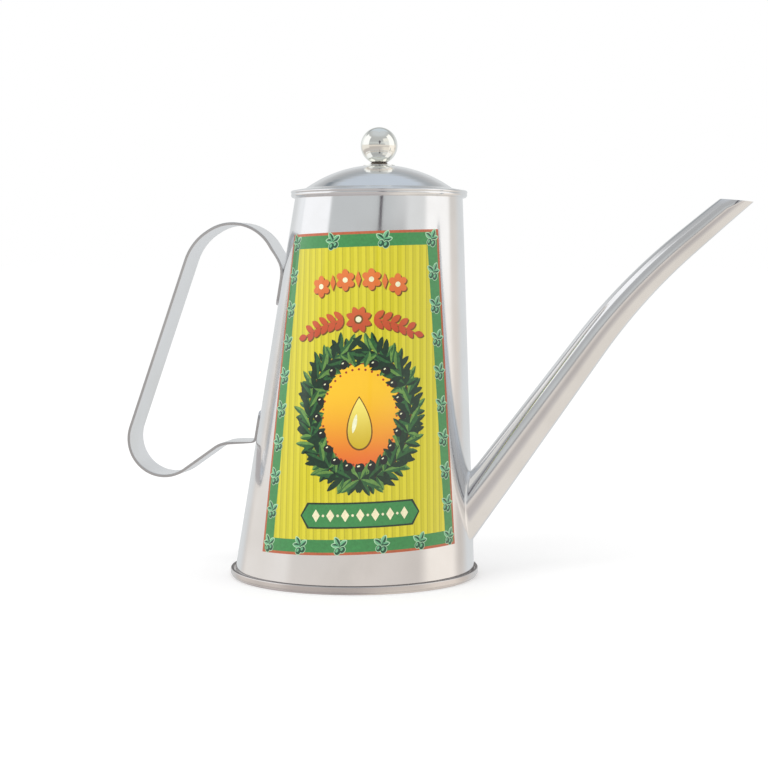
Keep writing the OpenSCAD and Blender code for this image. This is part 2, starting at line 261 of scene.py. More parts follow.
@dataclass(frozen=True)
class Steel(Finish):
    """Stainless sheet with polishing lines, faint clouds and a slight waviness."""

    tint: Colour = (0.9, 0.9, 0.905)
    stain: Colour = (0.84, 0.835, 0.83)
    roughness: float = 0.11
    rough_spread: float = 0.05
    grain: Colour = (1.0, 1.0, 0.02)
    grain_scale: float = 2600.0
    grain_depth: float = 0.02
    wave_depth: float = 0.05
    metal: float = 1.0

    def dress(self, graph: Graph, shader: bpy.types.Node) -> None:
        """Sets metal colour, roughness and bump from object coordinates.

        Args:
            graph: The material's tree.
            shader: Its Principled shader.
        """
        place = graph.node("ShaderNodeTexCoord").outputs["Object"]
        clouds = graph.noise(place, 38.0, 4.0)
        lines = graph.noise(place, self.grain_scale, 2.0, self.grain)
        waves = graph.noise(place, 22.0, 1.0, (1.0, 1.0, 0.35))
        graph.feed(shader.inputs["Base Color"], graph.mix(graph.rise(clouds, 0.35, 0.75), self.tint, self.stain))
        streaks = graph.math("MULTIPLY", graph.math("SUBTRACT", lines, 0.5), self.rough_spread)
        smudges = graph.math("MULTIPLY", graph.rise(clouds, 0.45, 0.8), self.rough_spread)
        graph.feed(
            shader.inputs["Roughness"],
            graph.math("ADD", graph.math("ADD", streaks, smudges), self.roughness),
        )
        shader.inputs["Metallic"].default_value = self.metal
        fine = graph.node("ShaderNodeBump")
        fine.inputs["Strength"].default_value = self.grain_depth
        fine.inputs["Distance"].default_value = 0.0001
        graph.feed(fine.inputs["Height"], lines)
        broad = graph.node("ShaderNodeBump")
        broad.inputs["Strength"].default_value = self.wave_depth
        broad.inputs["Distance"].default_value = 0.002
        graph.feed(broad.inputs["Height"], waves)
        graph.feed(broad.inputs["Normal"], fine.outputs[0])
        graph.feed(shader.inputs["Normal"], broad.outputs[0])


@dataclass(frozen=True)
class PrintInk(Finish):
    """A printed colour under a clear gloss film, with the slight mottle of a litho print."""

    colour: Colour = (0.5, 0.5, 0.5)
    mottle: float = 0.1

    def dress(self, graph: Graph, shader: bpy.types.Node) -> None:
        """Sets the ink's colour and the film over it.

        Args:
            graph: The material's tree.
            shader: Its Principled shader.
        """
        place = graph.node("ShaderNodeTexCoord").outputs["Object"]
        dots = graph.noise(place, 900.0, 2.0)
        clouds = graph.noise(place, 60.0, 3.0)
        self.film(graph, shader, place)
        shade = graph.math("ADD", graph.math("MULTIPLY", dots, 0.6), graph.math("MULTIPLY", clouds, 0.4))
        darker = tuple(c * (1 - self.mottle * 2) for c in self.colour)
        lighter = tuple(min(1.0, c * (1 + self.mottle)) for c in self.colour)
        graph.feed(shader.inputs["Base Color"], graph.ramp(shade, [(0.3, darker), (0.7, lighter)]))

    def film(self, graph: Graph, shader: bpy.types.Node, place: Socket) -> None:
        """Lays a clear gloss film over the print.

        Args:
            graph: The material's tree.
            shader: Its Principled shader.
            place: The object coordinates.
        """
        shader.inputs["Roughness"].default_value = 0.42
        shader.inputs["Specular IOR Level"].default_value = 0.3
        shader.inputs["Coat Weight"].default_value = 1.0
        shader.inputs["Coat Roughness"].default_value = 0.06
        shader.inputs["Coat IOR"].default_value = 1.5
        waves = graph.node("ShaderNodeBump")
        waves.inputs["Strength"].default_value = 0.06
        waves.inputs["Distance"].default_value = 0.001
        graph.feed(waves.inputs["Height"], graph.noise(place, 45.0, 2.0))
        graph.feed(shader.inputs["Coat Normal"], waves.outputs[0])


@dataclass(frozen=True)
class StripedInk(PrintInk):
    """The print's ground: upright stripes, each shaded across, read from the label's own millimetres."""

    line: Colour = (0.3, 0.3, 0.05)
    glow: Colour = (0.8, 0.7, 0.2)
    pitch: float = 3.3

    def dress(self, graph: Graph, shader: bpy.types.Node) -> None:
        """Sets the stripes and the film over them.

        Args:
            graph: The material's tree.
            shader: Its Principled shader.
        """
        place = graph.node("ShaderNodeTexCoord").outputs["Object"]
        flat = graph.node("ShaderNodeUVMap", uv_map="print")
        parts = graph.node("ShaderNodeSeparateXYZ")
        graph.feed(parts.inputs[0], flat.outputs[0])
        across = graph.math("FRACT", graph.math("MULTIPLY", parts.outputs[0], UV_MM / self.pitch))
        shade = graph.ramp(
            across,
            [
                (0.0, self.line),
                (0.12, self.colour),
                (0.46, self.colour),
                (0.54, self.glow),
                (0.9, self.glow),
                (1.0, self.line),
            ],
        )
        clouds = graph.noise(place, 60.0, 3.0)
        mottled = graph.mix(graph.math("MULTIPLY", clouds, self.mottle), shade, self.line)
        graph.feed(shader.inputs["Base Color"], mottled)
        self.film(graph, shader, place)


@dataclass(frozen=True)
class FadedInk(PrintInk):
    """An ink that fades from one colour at the foot to another at the head of its motif."""

    head: Colour = (0.9, 0.6, 0.2)
    low: float = -10.0
    high: float = 10.0

    def dress(self, graph: Graph, shader: bpy.types.Node) -> None:
        """Sets the fade and the film over it.

        Args:
            graph: The material's tree.
            shader: Its Principled shader.
        """
        place = graph.node("ShaderNodeTexCoord").outputs["Object"]
        flat = graph.node("ShaderNodeUVMap", uv_map="print")
        parts = graph.node("ShaderNodeSeparateXYZ")
        graph.feed(parts.inputs[0], flat.outputs[0])
        height = graph.math("MULTIPLY", parts.outputs[1], UV_MM)
        wobble = graph.math("MULTIPLY", graph.noise(place, 120.0, 3.0), self.mottle * 10)
        share = graph.rise(graph.math("ADD", height, wobble), self.low, self.high)
        graph.feed(shader.inputs["Base Color"], graph.mix(share, self.colour, self.head))
        self.film(graph, shader, place)


POLISHED = Steel("polished_sheet")
SEAM = Steel("seam_sheet", tint=(0.77, 0.73, 0.71), stain=(0.68, 0.65, 0.63), roughness=0.22, grain=(0.03, 1.0, 1.0))
# The next steel is painted shade: a dark steel laid in the crevice on top of the base seam and on the ball's underside
# where it sits on the collar.
GROOVE_SHADE = Steel("painted_groove_shade", tint=(0.30, 0.27, 0.26), stain=(0.22, 0.20, 0.20), roughness=0.5)
INSIDE = Steel("inside_sheet", tint=(0.84, 0.83, 0.82), stain=(0.74, 0.73, 0.72), roughness=0.34, metal=0.62)
SATIN = Steel("satin_sheet", tint=(0.8, 0.79, 0.79), roughness=0.24, rough_spread=0.08, grain=(0.03, 1.0, 1.0))
STRAP = Steel("strap_band", tint=(0.88, 0.88, 0.89), roughness=0.2, grain=(1.0, 0.04, 1.0))
CUT = Steel("strap_cut_edge", tint=(0.66, 0.67, 0.68), stain=(0.58, 0.58, 0.59), roughness=0.36, rough_spread=0.12)
MIRROR = Steel("knob_chrome", tint=(0.97, 0.97, 0.91), roughness=0.05, rough_spread=0.02, wave_depth=0.0)
SCREW = Steel("screw_zinc", tint=(0.72, 0.72, 0.74), roughness=0.3, rough_spread=0.1)
SOLDER = Steel("solder_line", tint=(0.74, 0.73, 0.72), roughness=0.28, rough_spread=0.12, wave_depth=0.15)


class Ink(Enum):
    """The inks of the print."""

    EDGE = PrintInk("ink_edge_red", colour=swatch(188, 96, 58))
    BAND = PrintInk("ink_band_green", colour=swatch(58, 140, 74))
    BAND_LEAF = PrintInk("ink_band_leaf", colour=swatch(112, 184, 136))
    BAND_LINE = PrintInk("ink_band_line", colour=swatch(176, 220, 178))
    BAND_SHADE = PrintInk("ink_band_shade", colour=swatch(28, 84, 58))
    GROUND = StripedInk("ink_ground", colour=swatch(206, 196, 30), line=swatch(180, 170, 28), glow=swatch(220, 209, 44))
    TITLE = FadedInk("ink_title", colour=swatch(190, 70, 36), head=swatch(226, 120, 52), low=20.0, high=52.0)
    TITLE_SHADE = PrintInk("ink_title_shade", colour=swatch(122, 78, 20))
    MEDAL = FadedInk("ink_medal", colour=swatch(228, 92, 36), head=swatch(248, 196, 36), low=-36.0, high=4.0)
    MEDAL_RIM = PrintInk("ink_medal_rim", colour=swatch(168, 60, 30))
    DROP = FadedInk("ink_drop", colour=swatch(206, 176, 30), head=swatch(250, 236, 120), low=-24.0, high=2.0)
    SHINE = PrintInk("ink_shine", colour=swatch(244, 246, 206))
    LEAF_DARK = PrintInk("ink_leaf_dark", colour=swatch(22, 58, 36), mottle=0.2)
    LEAF_MID = PrintInk("ink_leaf_mid", colour=swatch(46, 100, 52), mottle=0.2)
    LEAF_LIGHT = PrintInk("ink_leaf_light", colour=swatch(104, 150, 70), mottle=0.2)
    OLIVE = PrintInk("ink_olive", colour=swatch(30, 36, 34))
    TWIG = PrintInk("ink_twig", colour=swatch(74, 52, 28))
    CREAM = PrintInk("ink_cream", colour=swatch(246, 236, 196))


def rounded(corners: Sequence[tuple[float, float, float]], step_deg: float = 12.0) -> list[Vector]:
    """Draws an open outline whose corners are round.

    Args:
        corners: Each corner's place across and up, and its radius. A radius of 0 stays sharp.
        step_deg: The turn between two points of an arc.

    Returns:
        The outline's points as (across, up).
    """
    points = [Vector(corners[0][:2])]
    for before, here, after in zip(corners, corners[1:], corners[2:]):
        corner, radius = Vector(here[:2]), here[2]
        into = (corner - Vector(before[:2])).normalized()
        away = (Vector(after[:2]) - corner).normalized()
        turn = into.angle_signed(away) if radius else 0.0
        if abs(turn) < 1e-4:
            points.append(corner)
            continue
        start = corner - into * radius * math.tan(abs(turn) / 2)
        side = Vector((-into.y, into.x)) * (-1 if turn > 0 else 1)
        centre = start + side * radius
        steps = max(2, math.ceil(math.degrees(abs(turn)) / step_deg))
        for index in range(steps + 1):
            points.append(centre + Matrix.Rotation(-turn * index / steps, 2) @ (start - centre))
    points.append(Vector(corners[-1][:2]))
    return points


def arc(centre: tuple[float, float], radius: float, start_deg: float, end_deg: float, steps: int) -> list[Vector]:
    """Points along a circle, counted from its right side toward its top.

    Args:
        centre: The circle's centre.
        radius: Its radius.
        start_deg: Where the arc starts.
        end_deg: Where it ends.
        steps: How many pieces it has.

    Returns:
        The points.
    """
    turns = [math.radians(start_deg + (end_deg - start_deg) * i / steps) for i in range(steps + 1)]
    return [Vector((centre[0] + radius * math.cos(t), centre[1] + radius * math.sin(t))) for t in turns]


def braced(points: Sequence[Vector], gap: float = 0.3, longest: float = 8.0, closed: bool = True) -> list[Vector]:
    """Adds points close to both ends of each long stretch, so that its shading stays true.

    Args:
        points: The outline.
        gap: How far the added points lie from the ends.
        longest: No stretch stays longer than this.
        closed: Whether the last point joins the first.

    Returns:
        The outline with the points added.
    """
    made: list[Vector] = []
    ends = [*points[1:], points[0]] if closed else list(points[1:])
    for here, there in zip(points, ends):
        made.append(here)
        length = (there - here).length
        if length > 4 * gap:
            count = max(1, math.ceil((length - 2 * gap) / longest))
            for index in range(count + 1):
                made.append(here.lerp(there, (gap + (length - 2 * gap) * index / count) / length))
    if not closed:
        made.append(points[-1])
    return made


def spun(outline: Sequence[Vector], steps: int, closed: bool = True) -> bmesh.types.BMesh:
    """Turns an outline round the upright axis.

    Args:
        outline: Points as (radius, height).
        steps: How many facets go round.
        closed: Whether the outline is a loop.

    Returns:
        The mesh, with its seam and poles closed.
    """
    bm = bmesh.new()
    verts = [bm.verts.new((0.0, -max(p.x, 0.0), p.y)) for p in outline]
    ends = [*verts[1:], verts[0]] if closed else verts[1:]
    edges = [bm.edges.new(pair) for pair in zip(verts, ends)]
    bmesh.ops.spin(
        bm,
        geom=verts + edges,
        cent=(0, 0, 0),
        axis=(0, 0, 1),
        dvec=(0, 0, 0),
        angle=math.tau,
        steps=steps,
        use_merge=True,
        use_duplicate=False,
    )
    return bm


def lofted(rings: Sequence[Sequence[Vector]], closed: bool = False) -> bmesh.types.BMesh:
    """Draws a skin through rings of equally many points.

    Args:
        rings: The rings, in order along the piece.
        closed: Whether the last ring joins the first. Otherwise both ends are capped.

    Returns:
        The mesh.
    """
    bm = bmesh.new()
    number = bm.verts.layers.int.new("number")
    bmesh.ops.create_circle(bm, cap_ends=False, radius=1.0, segments=len(rings[0]))
    for index, vert in enumerate(list(bm.verts)):
        vert[number] = index
        vert.co = rings[0][index]
    first = list(bm.edges)
    front = first
    for ring in rings[1:]:
        made = bmesh.ops.extrude_edge_only(bm, edges=front)["geom"]
        verts = {part for part in made if isinstance(part, bmesh.types.BMVert)}
        front = [part for part in made if isinstance(part, bmesh.types.BMEdge) and set(part.verts) <= verts]
        for vert in verts:
            vert.co = ring[vert[number]]
    if closed:
        bmesh.ops.bridge_loops(bm, edges=first + front)
    else:
        bmesh.ops.contextual_create(bm, geom=first)
        bmesh.ops.contextual_create(bm, geom=front)
    return bm


@dataclass
class SubAssembly:
    """Pieces that ride on one body."""

    body: str = "can"

    def piece(
        self,
        name: str,
        bm: bmesh.types.BMesh,
        finishes: Sequence[Finish],
        slot: str,
        stands_for: Sequence[str] = (),
        crease_deg: float = 40.0,
        closed: bool = True,
    ) -> bpy.types.Object:
        """Turns a mesh in millimetres into a finished piece on its body.

        Args:
            name: The piece's name.
            bm: The mesh, which is used up.
            finishes: Its finishes, in the order of the mesh's material numbers.
            slot: The record's material slot. Not used.
            stands_for: The frame's nodes that this piece replaces.
            crease_deg: Edges sharper than this stay sharp.
            closed: Whether doubles are merged and the faces turned outward.

        Returns:
            The piece's object.
        """
        if closed:
            bmesh.ops.remove_doubles(bm, verts=bm.verts, dist=1e-4)
            bmesh.ops.dissolve_degenerate(bm, edges=bm.edges, dist=1e-5)
            bmesh.ops.recalc_face_normals(bm, faces=bm.faces)
        bmesh.ops.scale(bm, vec=(MM, MM, MM), verts=bm.verts)
        mark_creases(bm, crease_deg)
        mesh = bpy.data.meshes.new(name)
        bm.to_mesh(mesh)
        bm.free()
        made = bpy.data.objects.new(name, mesh)
        for finish in finishes:
            mesh.materials.append(finish.material())
        bpy.context.scene.collection.objects.link(made)
        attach(made, self.body)
        if stands_for:
            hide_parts(*stands_for)
        LOG.info("%s: %d faces on %s", name, len(mesh.polygons), self.body)
        return made


def mark_creases(bm: bmesh.types.BMesh, crease_deg: float) -> None:
    """Shades all faces smooth and keeps the sharp edges sharp.

    Args:
        bm: The mesh.
        crease_deg: Edges that turn more than this stay sharp.
    """
    limit = math.radians(crease_deg)
    for face in bm.faces:
        face.smooth = True
    for edge in bm.edges:
        edge.smooth = len(edge.link_faces) != 2 or edge.calc_face_angle(0.0) < limit


@dataclass
class WallCone:
    """The wall's outer surface: a cone that leans toward the spout and is cut level at foot and mouth."""

    base_d: float = 104.8
    mouth_d: float = 71.9
    mouth_h: float = 164.5
    lean_deg: float = 3.8
    sheet: float = 0.6

    @cached_property
    def taper(self) -> float:
        """How much the radius shrinks for each millimetre of height."""
        return (self.base_d - self.mouth_d) / 2 / self.mouth_h

    @cached_property
    def apex_h(self) -> float:
        """Height of the cone's apex."""
        return self.base_d / 2 / self.taper

    @cached_property
    def half_angle(self) -> float:
        """Half the cone's opening angle, square to its leaning axis."""
        slope = math.atan(self.taper)
        lean = math.radians(self.lean_deg)
        return (slope + math.asin(self.taper * math.cos(2 * lean) * math.cos(slope))) / 2

    @cached_property
    def drift(self) -> float:
        """How far the centre moves toward the spout for each millimetre of height."""
        lean = math.radians(self.lean_deg)
        return (math.tan(lean + self.half_angle) + math.tan(lean - self.half_angle)) / 2

    @cached_property
    def squeeze(self) -> float:
        """Depth of a level section as a share of its length."""
        lean = math.radians(self.lean_deg)
        return math.sqrt(1 - (math.sin(lean) / math.cos(self.half_angle)) ** 2)

    @property
    def mouth_x(self) -> float:
        """Where the mouth's centre lies."""
        return self.centre(self.mouth_h)

    def centre(self, height: float) -> float:
        """Where the centre lies at a height."""
        return height * self.drift

    def radius(self, height: float) -> float:
        """Half the length of the level section at a height."""
        return (self.apex_h - height) * self.taper

    def left(self, height: float) -> float:
        """Where the wall's handle side lies at a height."""
        return self.centre(height) - self.radius(height)

    def normal(self, turn: float) -> Vector:
        """The direction square to the wall.

        Args:
            turn: The turn round the can, in radians.

        Returns:
            The unit direction, outward.
        """
        side = math.sin(turn)
        return Vector((side, -math.cos(turn) / self.squeeze, self.taper - self.drift * side)).normalized()

    def point(self, turn: float, height: float, out: float = 0.0) -> Vector:
        """A point on the wall.

        Args:
            turn: The turn round the can, in radians.
            height: The point's height.
            out: How far it stands off the wall.

        Returns:
            The point.
        """
        reach = self.radius(height)
        across = self.centre(height) + reach * math.sin(turn)
        return Vector((across, -self.squeeze * reach * math.cos(turn), height)) + self.normal(turn) * out

    def turn_at(self, place: Vector) -> float:
        """The turn round the can at which a place lies."""
        return math.atan2(place.x - self.centre(place.z), -place.y / self.squeeze)

    def hit(self, start: Vector, way: Vector) -> Vector:
        """Where a straight line meets the wall, nearest to its start.

        Args:
            start: A point of the line.
            way: The line's direction.

        Returns:
            The point on the wall.
        """
        place = Vector((start.x - self.drift * start.z, start.y / self.squeeze, self.radius(start.z)))
        step = Vector((way.x - self.drift * way.z, way.y / self.squeeze, -self.taper * way.z))
        signs = Vector((1, 1, -1))
        a = sum(s * q * q for s, q in zip(signs, step))
        b = 2 * sum(s * p * q for s, p, q in zip(signs, place, step))
        c = sum(s * p * p for s, p in zip(signs, place))
        root = math.sqrt(b * b - 4 * a * c)
        ways = ((-b - root) / 2 / a, (-b + root) / 2 / a)
        return start + way * min(ways, key=abs)

    def lean(self, bm: bmesh.types.BMesh) -> None:
        """Leans an upright round mesh as the wall leans."""
        shear = Matrix.Identity(4)
        shear[0][2] = self.drift
        shear[1][1] = self.squeeze
        bmesh.ops.transform(bm, matrix=shear, verts=bm.verts)


@dataclass
class Body(SubAssembly):
    """The wall with its rolled mouth, the feed hole of the spout and the weld down the back."""

    wall: WallCone = field(default_factory=WallCone)
    facets: int = 192
    bead_d: float = 2.4
    foot_z: float = 1.2
    weld_w: float = 1.3
    weld_h: float = 0.14

    @property
    def bead_r(self) -> float:
        """Radius of the middle of the rolled bead."""
        return self.wall.mouth_d / 2 - self.wall.sheet * 0.75 + self.bead_d / 2

    def outline(self) -> list[Vector]:
        """The sheet's section: up the inside, round the bead and down the outside.

        Returns:
            The points as (radius, height).
        """
        wall = self.wall
        inner_top = wall.mouth_h - self.bead_d * 0.35
        roll = arc((self.bead_r, wall.mouth_h), self.bead_d / 2, 170, -122, 26)
        inside = [
            Vector((wall.radius(self.foot_z) - wall.sheet, self.foot_z)),
            Vector((wall.radius(inner_top) - wall.sheet, inner_top)),
        ]
        below = roll[-1].y - 0.05
        outside = [Vector((wall.radius(below), below)), Vector((wall.radius(self.foot_z), self.foot_z))]
        return braced([*inside, *roll, *outside], longest=7.0)

    def build(self, spout: "Spout") -> None:
        """Builds the wall and its weld.

        Args:
            spout: The spout that the wall feeds.
        """
        bm = spun(self.outline(), self.facets)
        for face in bm.faces:
            middle = face.calc_center_median()
            within = middle.xy.length < self.wall.radius(middle.z) - self.wall.sheet / 2
            face.material_index = int(within and middle.z < self.wall.mouth_h - self.bead_d * 0.35)
        self.wall.lean(bm)
        shell = self.piece("can_wall", bm, [POLISHED, INSIDE], "polished_steel", ["body_shell"], crease_deg=38)
        self.cut(shell, spout.feed_cutter())
        self.piece("wall_weld", self.weld(), [SOLDER], "polished_steel")

    def cut(self, shell: bpy.types.Object, cutter: bmesh.types.BMesh) -> None:
        """Cuts the feed hole into the wall.

        Args:
            shell: The wall's piece.
            cutter: The plug that is taken away, in millimetres.
        """
        bmesh.ops.scale(cutter, vec=(MM, MM, MM), verts=cutter.verts)
        mesh = bpy.data.meshes.new("feed_cutter")
        cutter.to_mesh(mesh)
        cutter.free()
        plug = bpy.data.objects.new("feed_cutter", mesh)
        bpy.context.scene.collection.objects.link(plug)
        modifier = shell.modifiers.new("feed", "BOOLEAN")
        modifier.operation = "DIFFERENCE"
        modifier.solver = "EXACT"
        modifier.object = plug
        bpy.context.view_layer.update()
        seen = shell.evaluated_get(bpy.context.evaluated_depsgraph_get())
        cut_mesh = bpy.data.meshes.new_from_object(seen)
        shell.modifiers.clear()
        shell.data = cut_mesh
        bpy.data.objects.remove(plug)
        bm = bmesh.new()
        bm.from_mesh(cut_mesh)
        mark_creases(bm, 38)
        bm.to_mesh(cut_mesh)
        bm.free()

    def weld(self) -> bmesh.types.BMesh:
        """The flat weld line down the back of the wall.

        Returns:
            Its mesh.
        """
        low, high = 3.2, self.wall.mouth_h - self.bead_d * 0.45
        rings = []
        for index in range(61):
            height = low + (high - low) * index / 60
            spread = self.weld_w / 2 / self.wall.radius(height)
            ripple = 1.0 + 0.12 * math.sin(index * 2.1)
            ring = []
            for step in range(12):
                turn = math.tau * step / 12
                out = self.weld_h * ripple * math.sin(turn) - 0.04
                ring.append(self.wall.point(math.pi + spread * math.cos(turn), height, out))
            rings.append(ring)
        return lofted(rings)


@dataclass
class Base(SubAssembly):
    """The rolled seam round the foot and the recessed panel inside it."""

    wall: WallCone = field(default_factory=WallCone)
    facets: int = 192
    seam_r: float = 54.0
    seam_in_r: float = 50.6
    seam_h: float = 3.5
    recess: float = 2.9
    sheet: float = 0.6
    panel_ring_r: float = 38.0
    panel_ring_h: float = 0.5

    def outline(self) -> list[Vector]:
        """The section from the middle of the underside, round the seam, to the middle of the panel's top.

        Returns:
            The points as (radius, height).
        """
        wall_r = self.wall.radius(self.seam_h)
        ring, lift = self.panel_ring_r, self.panel_ring_h
        under = self.recess
        return rounded(
            [
                (0, under, 0),
                (ring - 2.2, under, 1.0),
                (ring - 1.2, under - lift, 1.0),
                (ring + 1.2, under - lift, 1.0),
                (ring + 2.2, under, 1.0),
                (self.seam_in_r - 0.2, under, 0.7),
                (self.seam_in_r, 0.0, 0.5),
                (self.seam_r - 0.75, 0.0, 0.45),
                (self.seam_r - 0.45, 0.62, 0.15),
                (self.seam_r - 0.62, 0.82, 0.08),
                (self.seam_r, 1.05, 0.35),
                (self.seam_r, self.seam_h, 0.55),
                (wall_r + 0.75, self.seam_h, 0.3),
                (wall_r + 0.5, self.seam_h - 1.1, 0),
                (wall_r - 0.3, self.seam_h - 1.1, 0),
                (wall_r - 0.3, under + self.sheet, 0),
                (0, under + self.sheet, 0),
            ],
            15.0,
        )

    def build(self) -> None:
        """Builds the base plate with its seam."""
        bm = spun(braced(self.outline(), closed=False, longest=14.0), self.facets, closed=False)
        for face in bm.faces:
            middle = face.calc_center_median()
            reach = middle.xy.length
            if reach < self.seam_in_r and middle.z > self.recess + self.sheet - 0.05:
                face.material_index = 2
            elif self.seam_in_r < reach < self.seam_r - 0.25 and middle.z > self.seam_h - 0.3:
                # Painted shade: the crevice on top of the seam, where the wall goes in, gets the dark steel.
                face.material_index = 1
        self.piece("base_seam", bm, [SEAM, GROOVE_SHADE, INSIDE], "satin_steel", ["base_plate"], crease_deg=50)


@dataclass
class Spout(SubAssembly):
    """The tapered pouring spout: straight, bent once toward level, straight again and cut open at the tip."""

    wall: WallCone = field(default_factory=WallCone)
    sides: int = 72
    root_h: float = 30.6
    rise_deg: float = 54.1
    straight: float = 86.6
    bend_r: float = 250.0
    tip_rise_deg: float = 40.6
    tip_h: float = 161.4
    tip_cut_deg: float = 5.5
    root_d: float = 18.3
    tip_d: float = 10.0
    sheet: float = 0.6
    fillet: float = 1.5
    feed_r: float = 8.15

    @cached_property
    def root(self) -> Vector:
        """Where the spout's middle line leaves the wall."""
        return Vector((self.wall.centre(self.root_h) + self.wall.radius(self.root_h), 0, self.root_h))

    @cached_property
    def bend(self) -> float:
        """Length of the bend along the middle line."""
        return self.bend_r * math.radians(self.rise_deg - self.tip_rise_deg)

    @cached_property
    def length(self) -> float:
        """Length of the whole middle line."""
        end = self.middle(self.straight + self.bend)
        return self.straight + self.bend + (self.tip_h - end.z) / math.sin(math.radians(self.tip_rise_deg))

    def rise(self, along: float) -> float:
        """How steeply the middle line rises.

        Args:
            along: The distance from the root.

        Returns:
            The angle over level, in radians.
        """
        turned = min(max(along - self.straight, 0.0), self.bend) / self.bend_r
        return math.radians(self.rise_deg) - turned

    def way(self, along: float) -> Vector:
        """The middle line's direction at a distance from the root."""
        return Vector((math.cos(self.rise(along)), 0, math.sin(self.rise(along))))

    def middle(self, along: float) -> Vector:
        """A point of the middle line.

        Args:
            along: The distance from the root.

        Returns:
            The point.
        """
        start = self.way(0.0)
        if along <= self.straight:
            return self.root + start * along
        bend_start = self.root + start * self.straight
        centre = bend_start + self.bend_r * Vector((start.z, 0, -start.x))
        bent = min(along, self.straight + self.bend)
        here = self.way(bent)
        return centre + self.bend_r * Vector((-here.z, 0, here.x)) + here * (along - bent)

    def radius(self, along: float) -> float:
        """Outer radius at a distance from the root."""
        return (self.root_d + (self.tip_d - self.root_d) * along / self.length) / 2

    def side(self, along: float, turn: float) -> Vector:
        """The direction from the middle line to the skin.

        Args:
            along: The distance from the root.
            turn: The turn round the spout, in radians.

        Returns:
            The unit direction.
        """
        way = self.way(along)
        return Vector((-way.z * math.sin(turn), -math.cos(turn), way.x * math.sin(turn)))

    def turns(self) -> list[float]:
        """The turns at which the skin has its points."""
        return [math.tau * i / self.sides for i in range(self.sides)]

    def ring(self, along: float, inset: float = 0.0) -> list[Vector]:
        """A ring of the skin, square to the middle line.

        Args:
            along: The distance from the root.
            inset: How far it lies inside the outer skin.

        Returns:
            The ring's points.
        """
        middle, reach = self.middle(along), self.radius(along) - inset
        return [middle + self.side(along, t) * reach for t in self.turns()]

    def foot_ring(self, inset: float, back: float = 0.0) -> list[Vector]:
        """The ring where the skin meets the wall.

        Args:
            inset: How far it lies inside the outer skin.
            back: How far it is drawn back along the spout.

        Returns:
            The ring's points.
        """
        way = self.way(0.0)
        return [self.wall.hit(p, way) - way * back for p in self.ring(0.0, inset)]

    def tip_ring(self, inset: float, back: float = 0.0) -> list[Vector]:
        """The ring where the tip is cut open.

        Args:
            inset: How far it lies inside the outer skin.
            back: How far it is drawn back along the spout.

        Returns:
            The ring's points.
        """
        cut = math.radians(self.tip_cut_deg)
        normal = Vector((math.sin(cut), 0, math.cos(cut)))
        way, tip = self.way(self.length), self.middle(self.length)
        ring = self.ring(self.length, inset)
        return [p - way * ((p - tip).dot(normal) / way.dot(normal) + back) for p in ring]

    def fillet_rings(self) -> list[list[Vector]]:
        """The solder's rings from the wall up to the skin.

        Returns:
            The rings, the lowest just under the wall's surface.
        """
        way = self.way(0.0)
        feet = self.foot_ring(0.0)
        rings = []
        for share in (-0.08, 0.0, 0.12, 0.28, 0.46, 0.64, 0.82, 1.0):
            ring = []
            for foot, turn in zip(feet, self.turns()):
                normal = self.wall.normal(self.wall.turn_at(foot))
                out = self.side(0.0, turn)
                spread = (out - normal * out.dot(normal)).normalized()
                low = self.wall.hit(foot + spread * self.fillet + normal, -normal)
                high = foot + way * self.fillet
                if share < 0:
                    ring.append(low - normal * 0.2)
                    continue
                ring.append(low.lerp(foot, share).lerp(foot.lerp(high, share), share))
            rings.append(ring)
        return rings

    def outer_rings(self) -> list[list[Vector]]:
        """The outer skin's rings from above the solder to the tip.

        Returns:
            The rings.
        """
        way = self.way(0.0)
        clear = self.root_d / 2 * math.tan(math.radians(self.rise_deg)) + 4
        lowest = [p + way * self.fillet for p in self.foot_ring(0.0)]
        rings = [[a.lerp(b, share) for a, b in zip(lowest, self.ring(clear))] for share in (0.04, 0.3, 0.65)]
        rings += self.stations(clear, self.length - 10.5, 0.0)
        rings += [[a.lerp(b, 0.5) for a, b in zip(rings[-1], self.tip_ring(0, 0))]]
        return rings

    def stations(self, start: float, end: float, inset: float) -> list[list[Vector]]:
        """Rings at even steps, with short steps in the bend.

        Args:
            start: Distance of the first ring.
            end: Distance of the last ring.
            inset: How far they lie inside the outer skin.

        Returns:
            The rings.
        """
        marks = [start, self.straight, self.straight + self.bend, end]
        rings = [self.ring(start, inset)]
        for low, high, step in zip(marks, marks[1:], (9.0, 3.0, 6.0)):
            count = max(1, math.ceil((high - low) / step))
            rings += [self.ring(low + (high - low) * (i + 1) / count, inset) for i in range(count)]
        return rings

    def build(self) -> None:
        """Builds the spout with its wall thickness and the rolled lip of its tip."""
        lip = [(0.0, 0.14), (0.04, 0.04), (0.16, 0.0), (self.sheet - 0.16, 0.0), (self.sheet - 0.04, 0.04)]
        rings = self.fillet_rings() + self.outer_rings()
        rings += [self.tip_ring(inset, back) for inset, back in lip]
        rings += [self.tip_ring(self.sheet, 0.14)]
        rings += reversed(self.stations(20.0, self.length - 10.5, self.sheet))
        rings += [self.foot_ring(self.sheet, -3.0), self.foot_ring(self.sheet + 0.1, 0.8)]
        bm = lofted(rings, closed=True)
        self.piece("pouring_spout", bm, [POLISHED], "polished_steel", ["spout"], crease_deg=50)

    def feed_cutter(self) -> bmesh.types.BMesh:
        """The plug that cuts the feed hole.

        Returns:
            Its mesh.
        """
        way = self.way(0.0)
        turns = self.turns()
        ends = [self.root + way * reach for reach in (-16.0, 12.0)]
        return lofted([[end + self.side(0.0, t) * self.feed_r for t in turns] for end in ends])


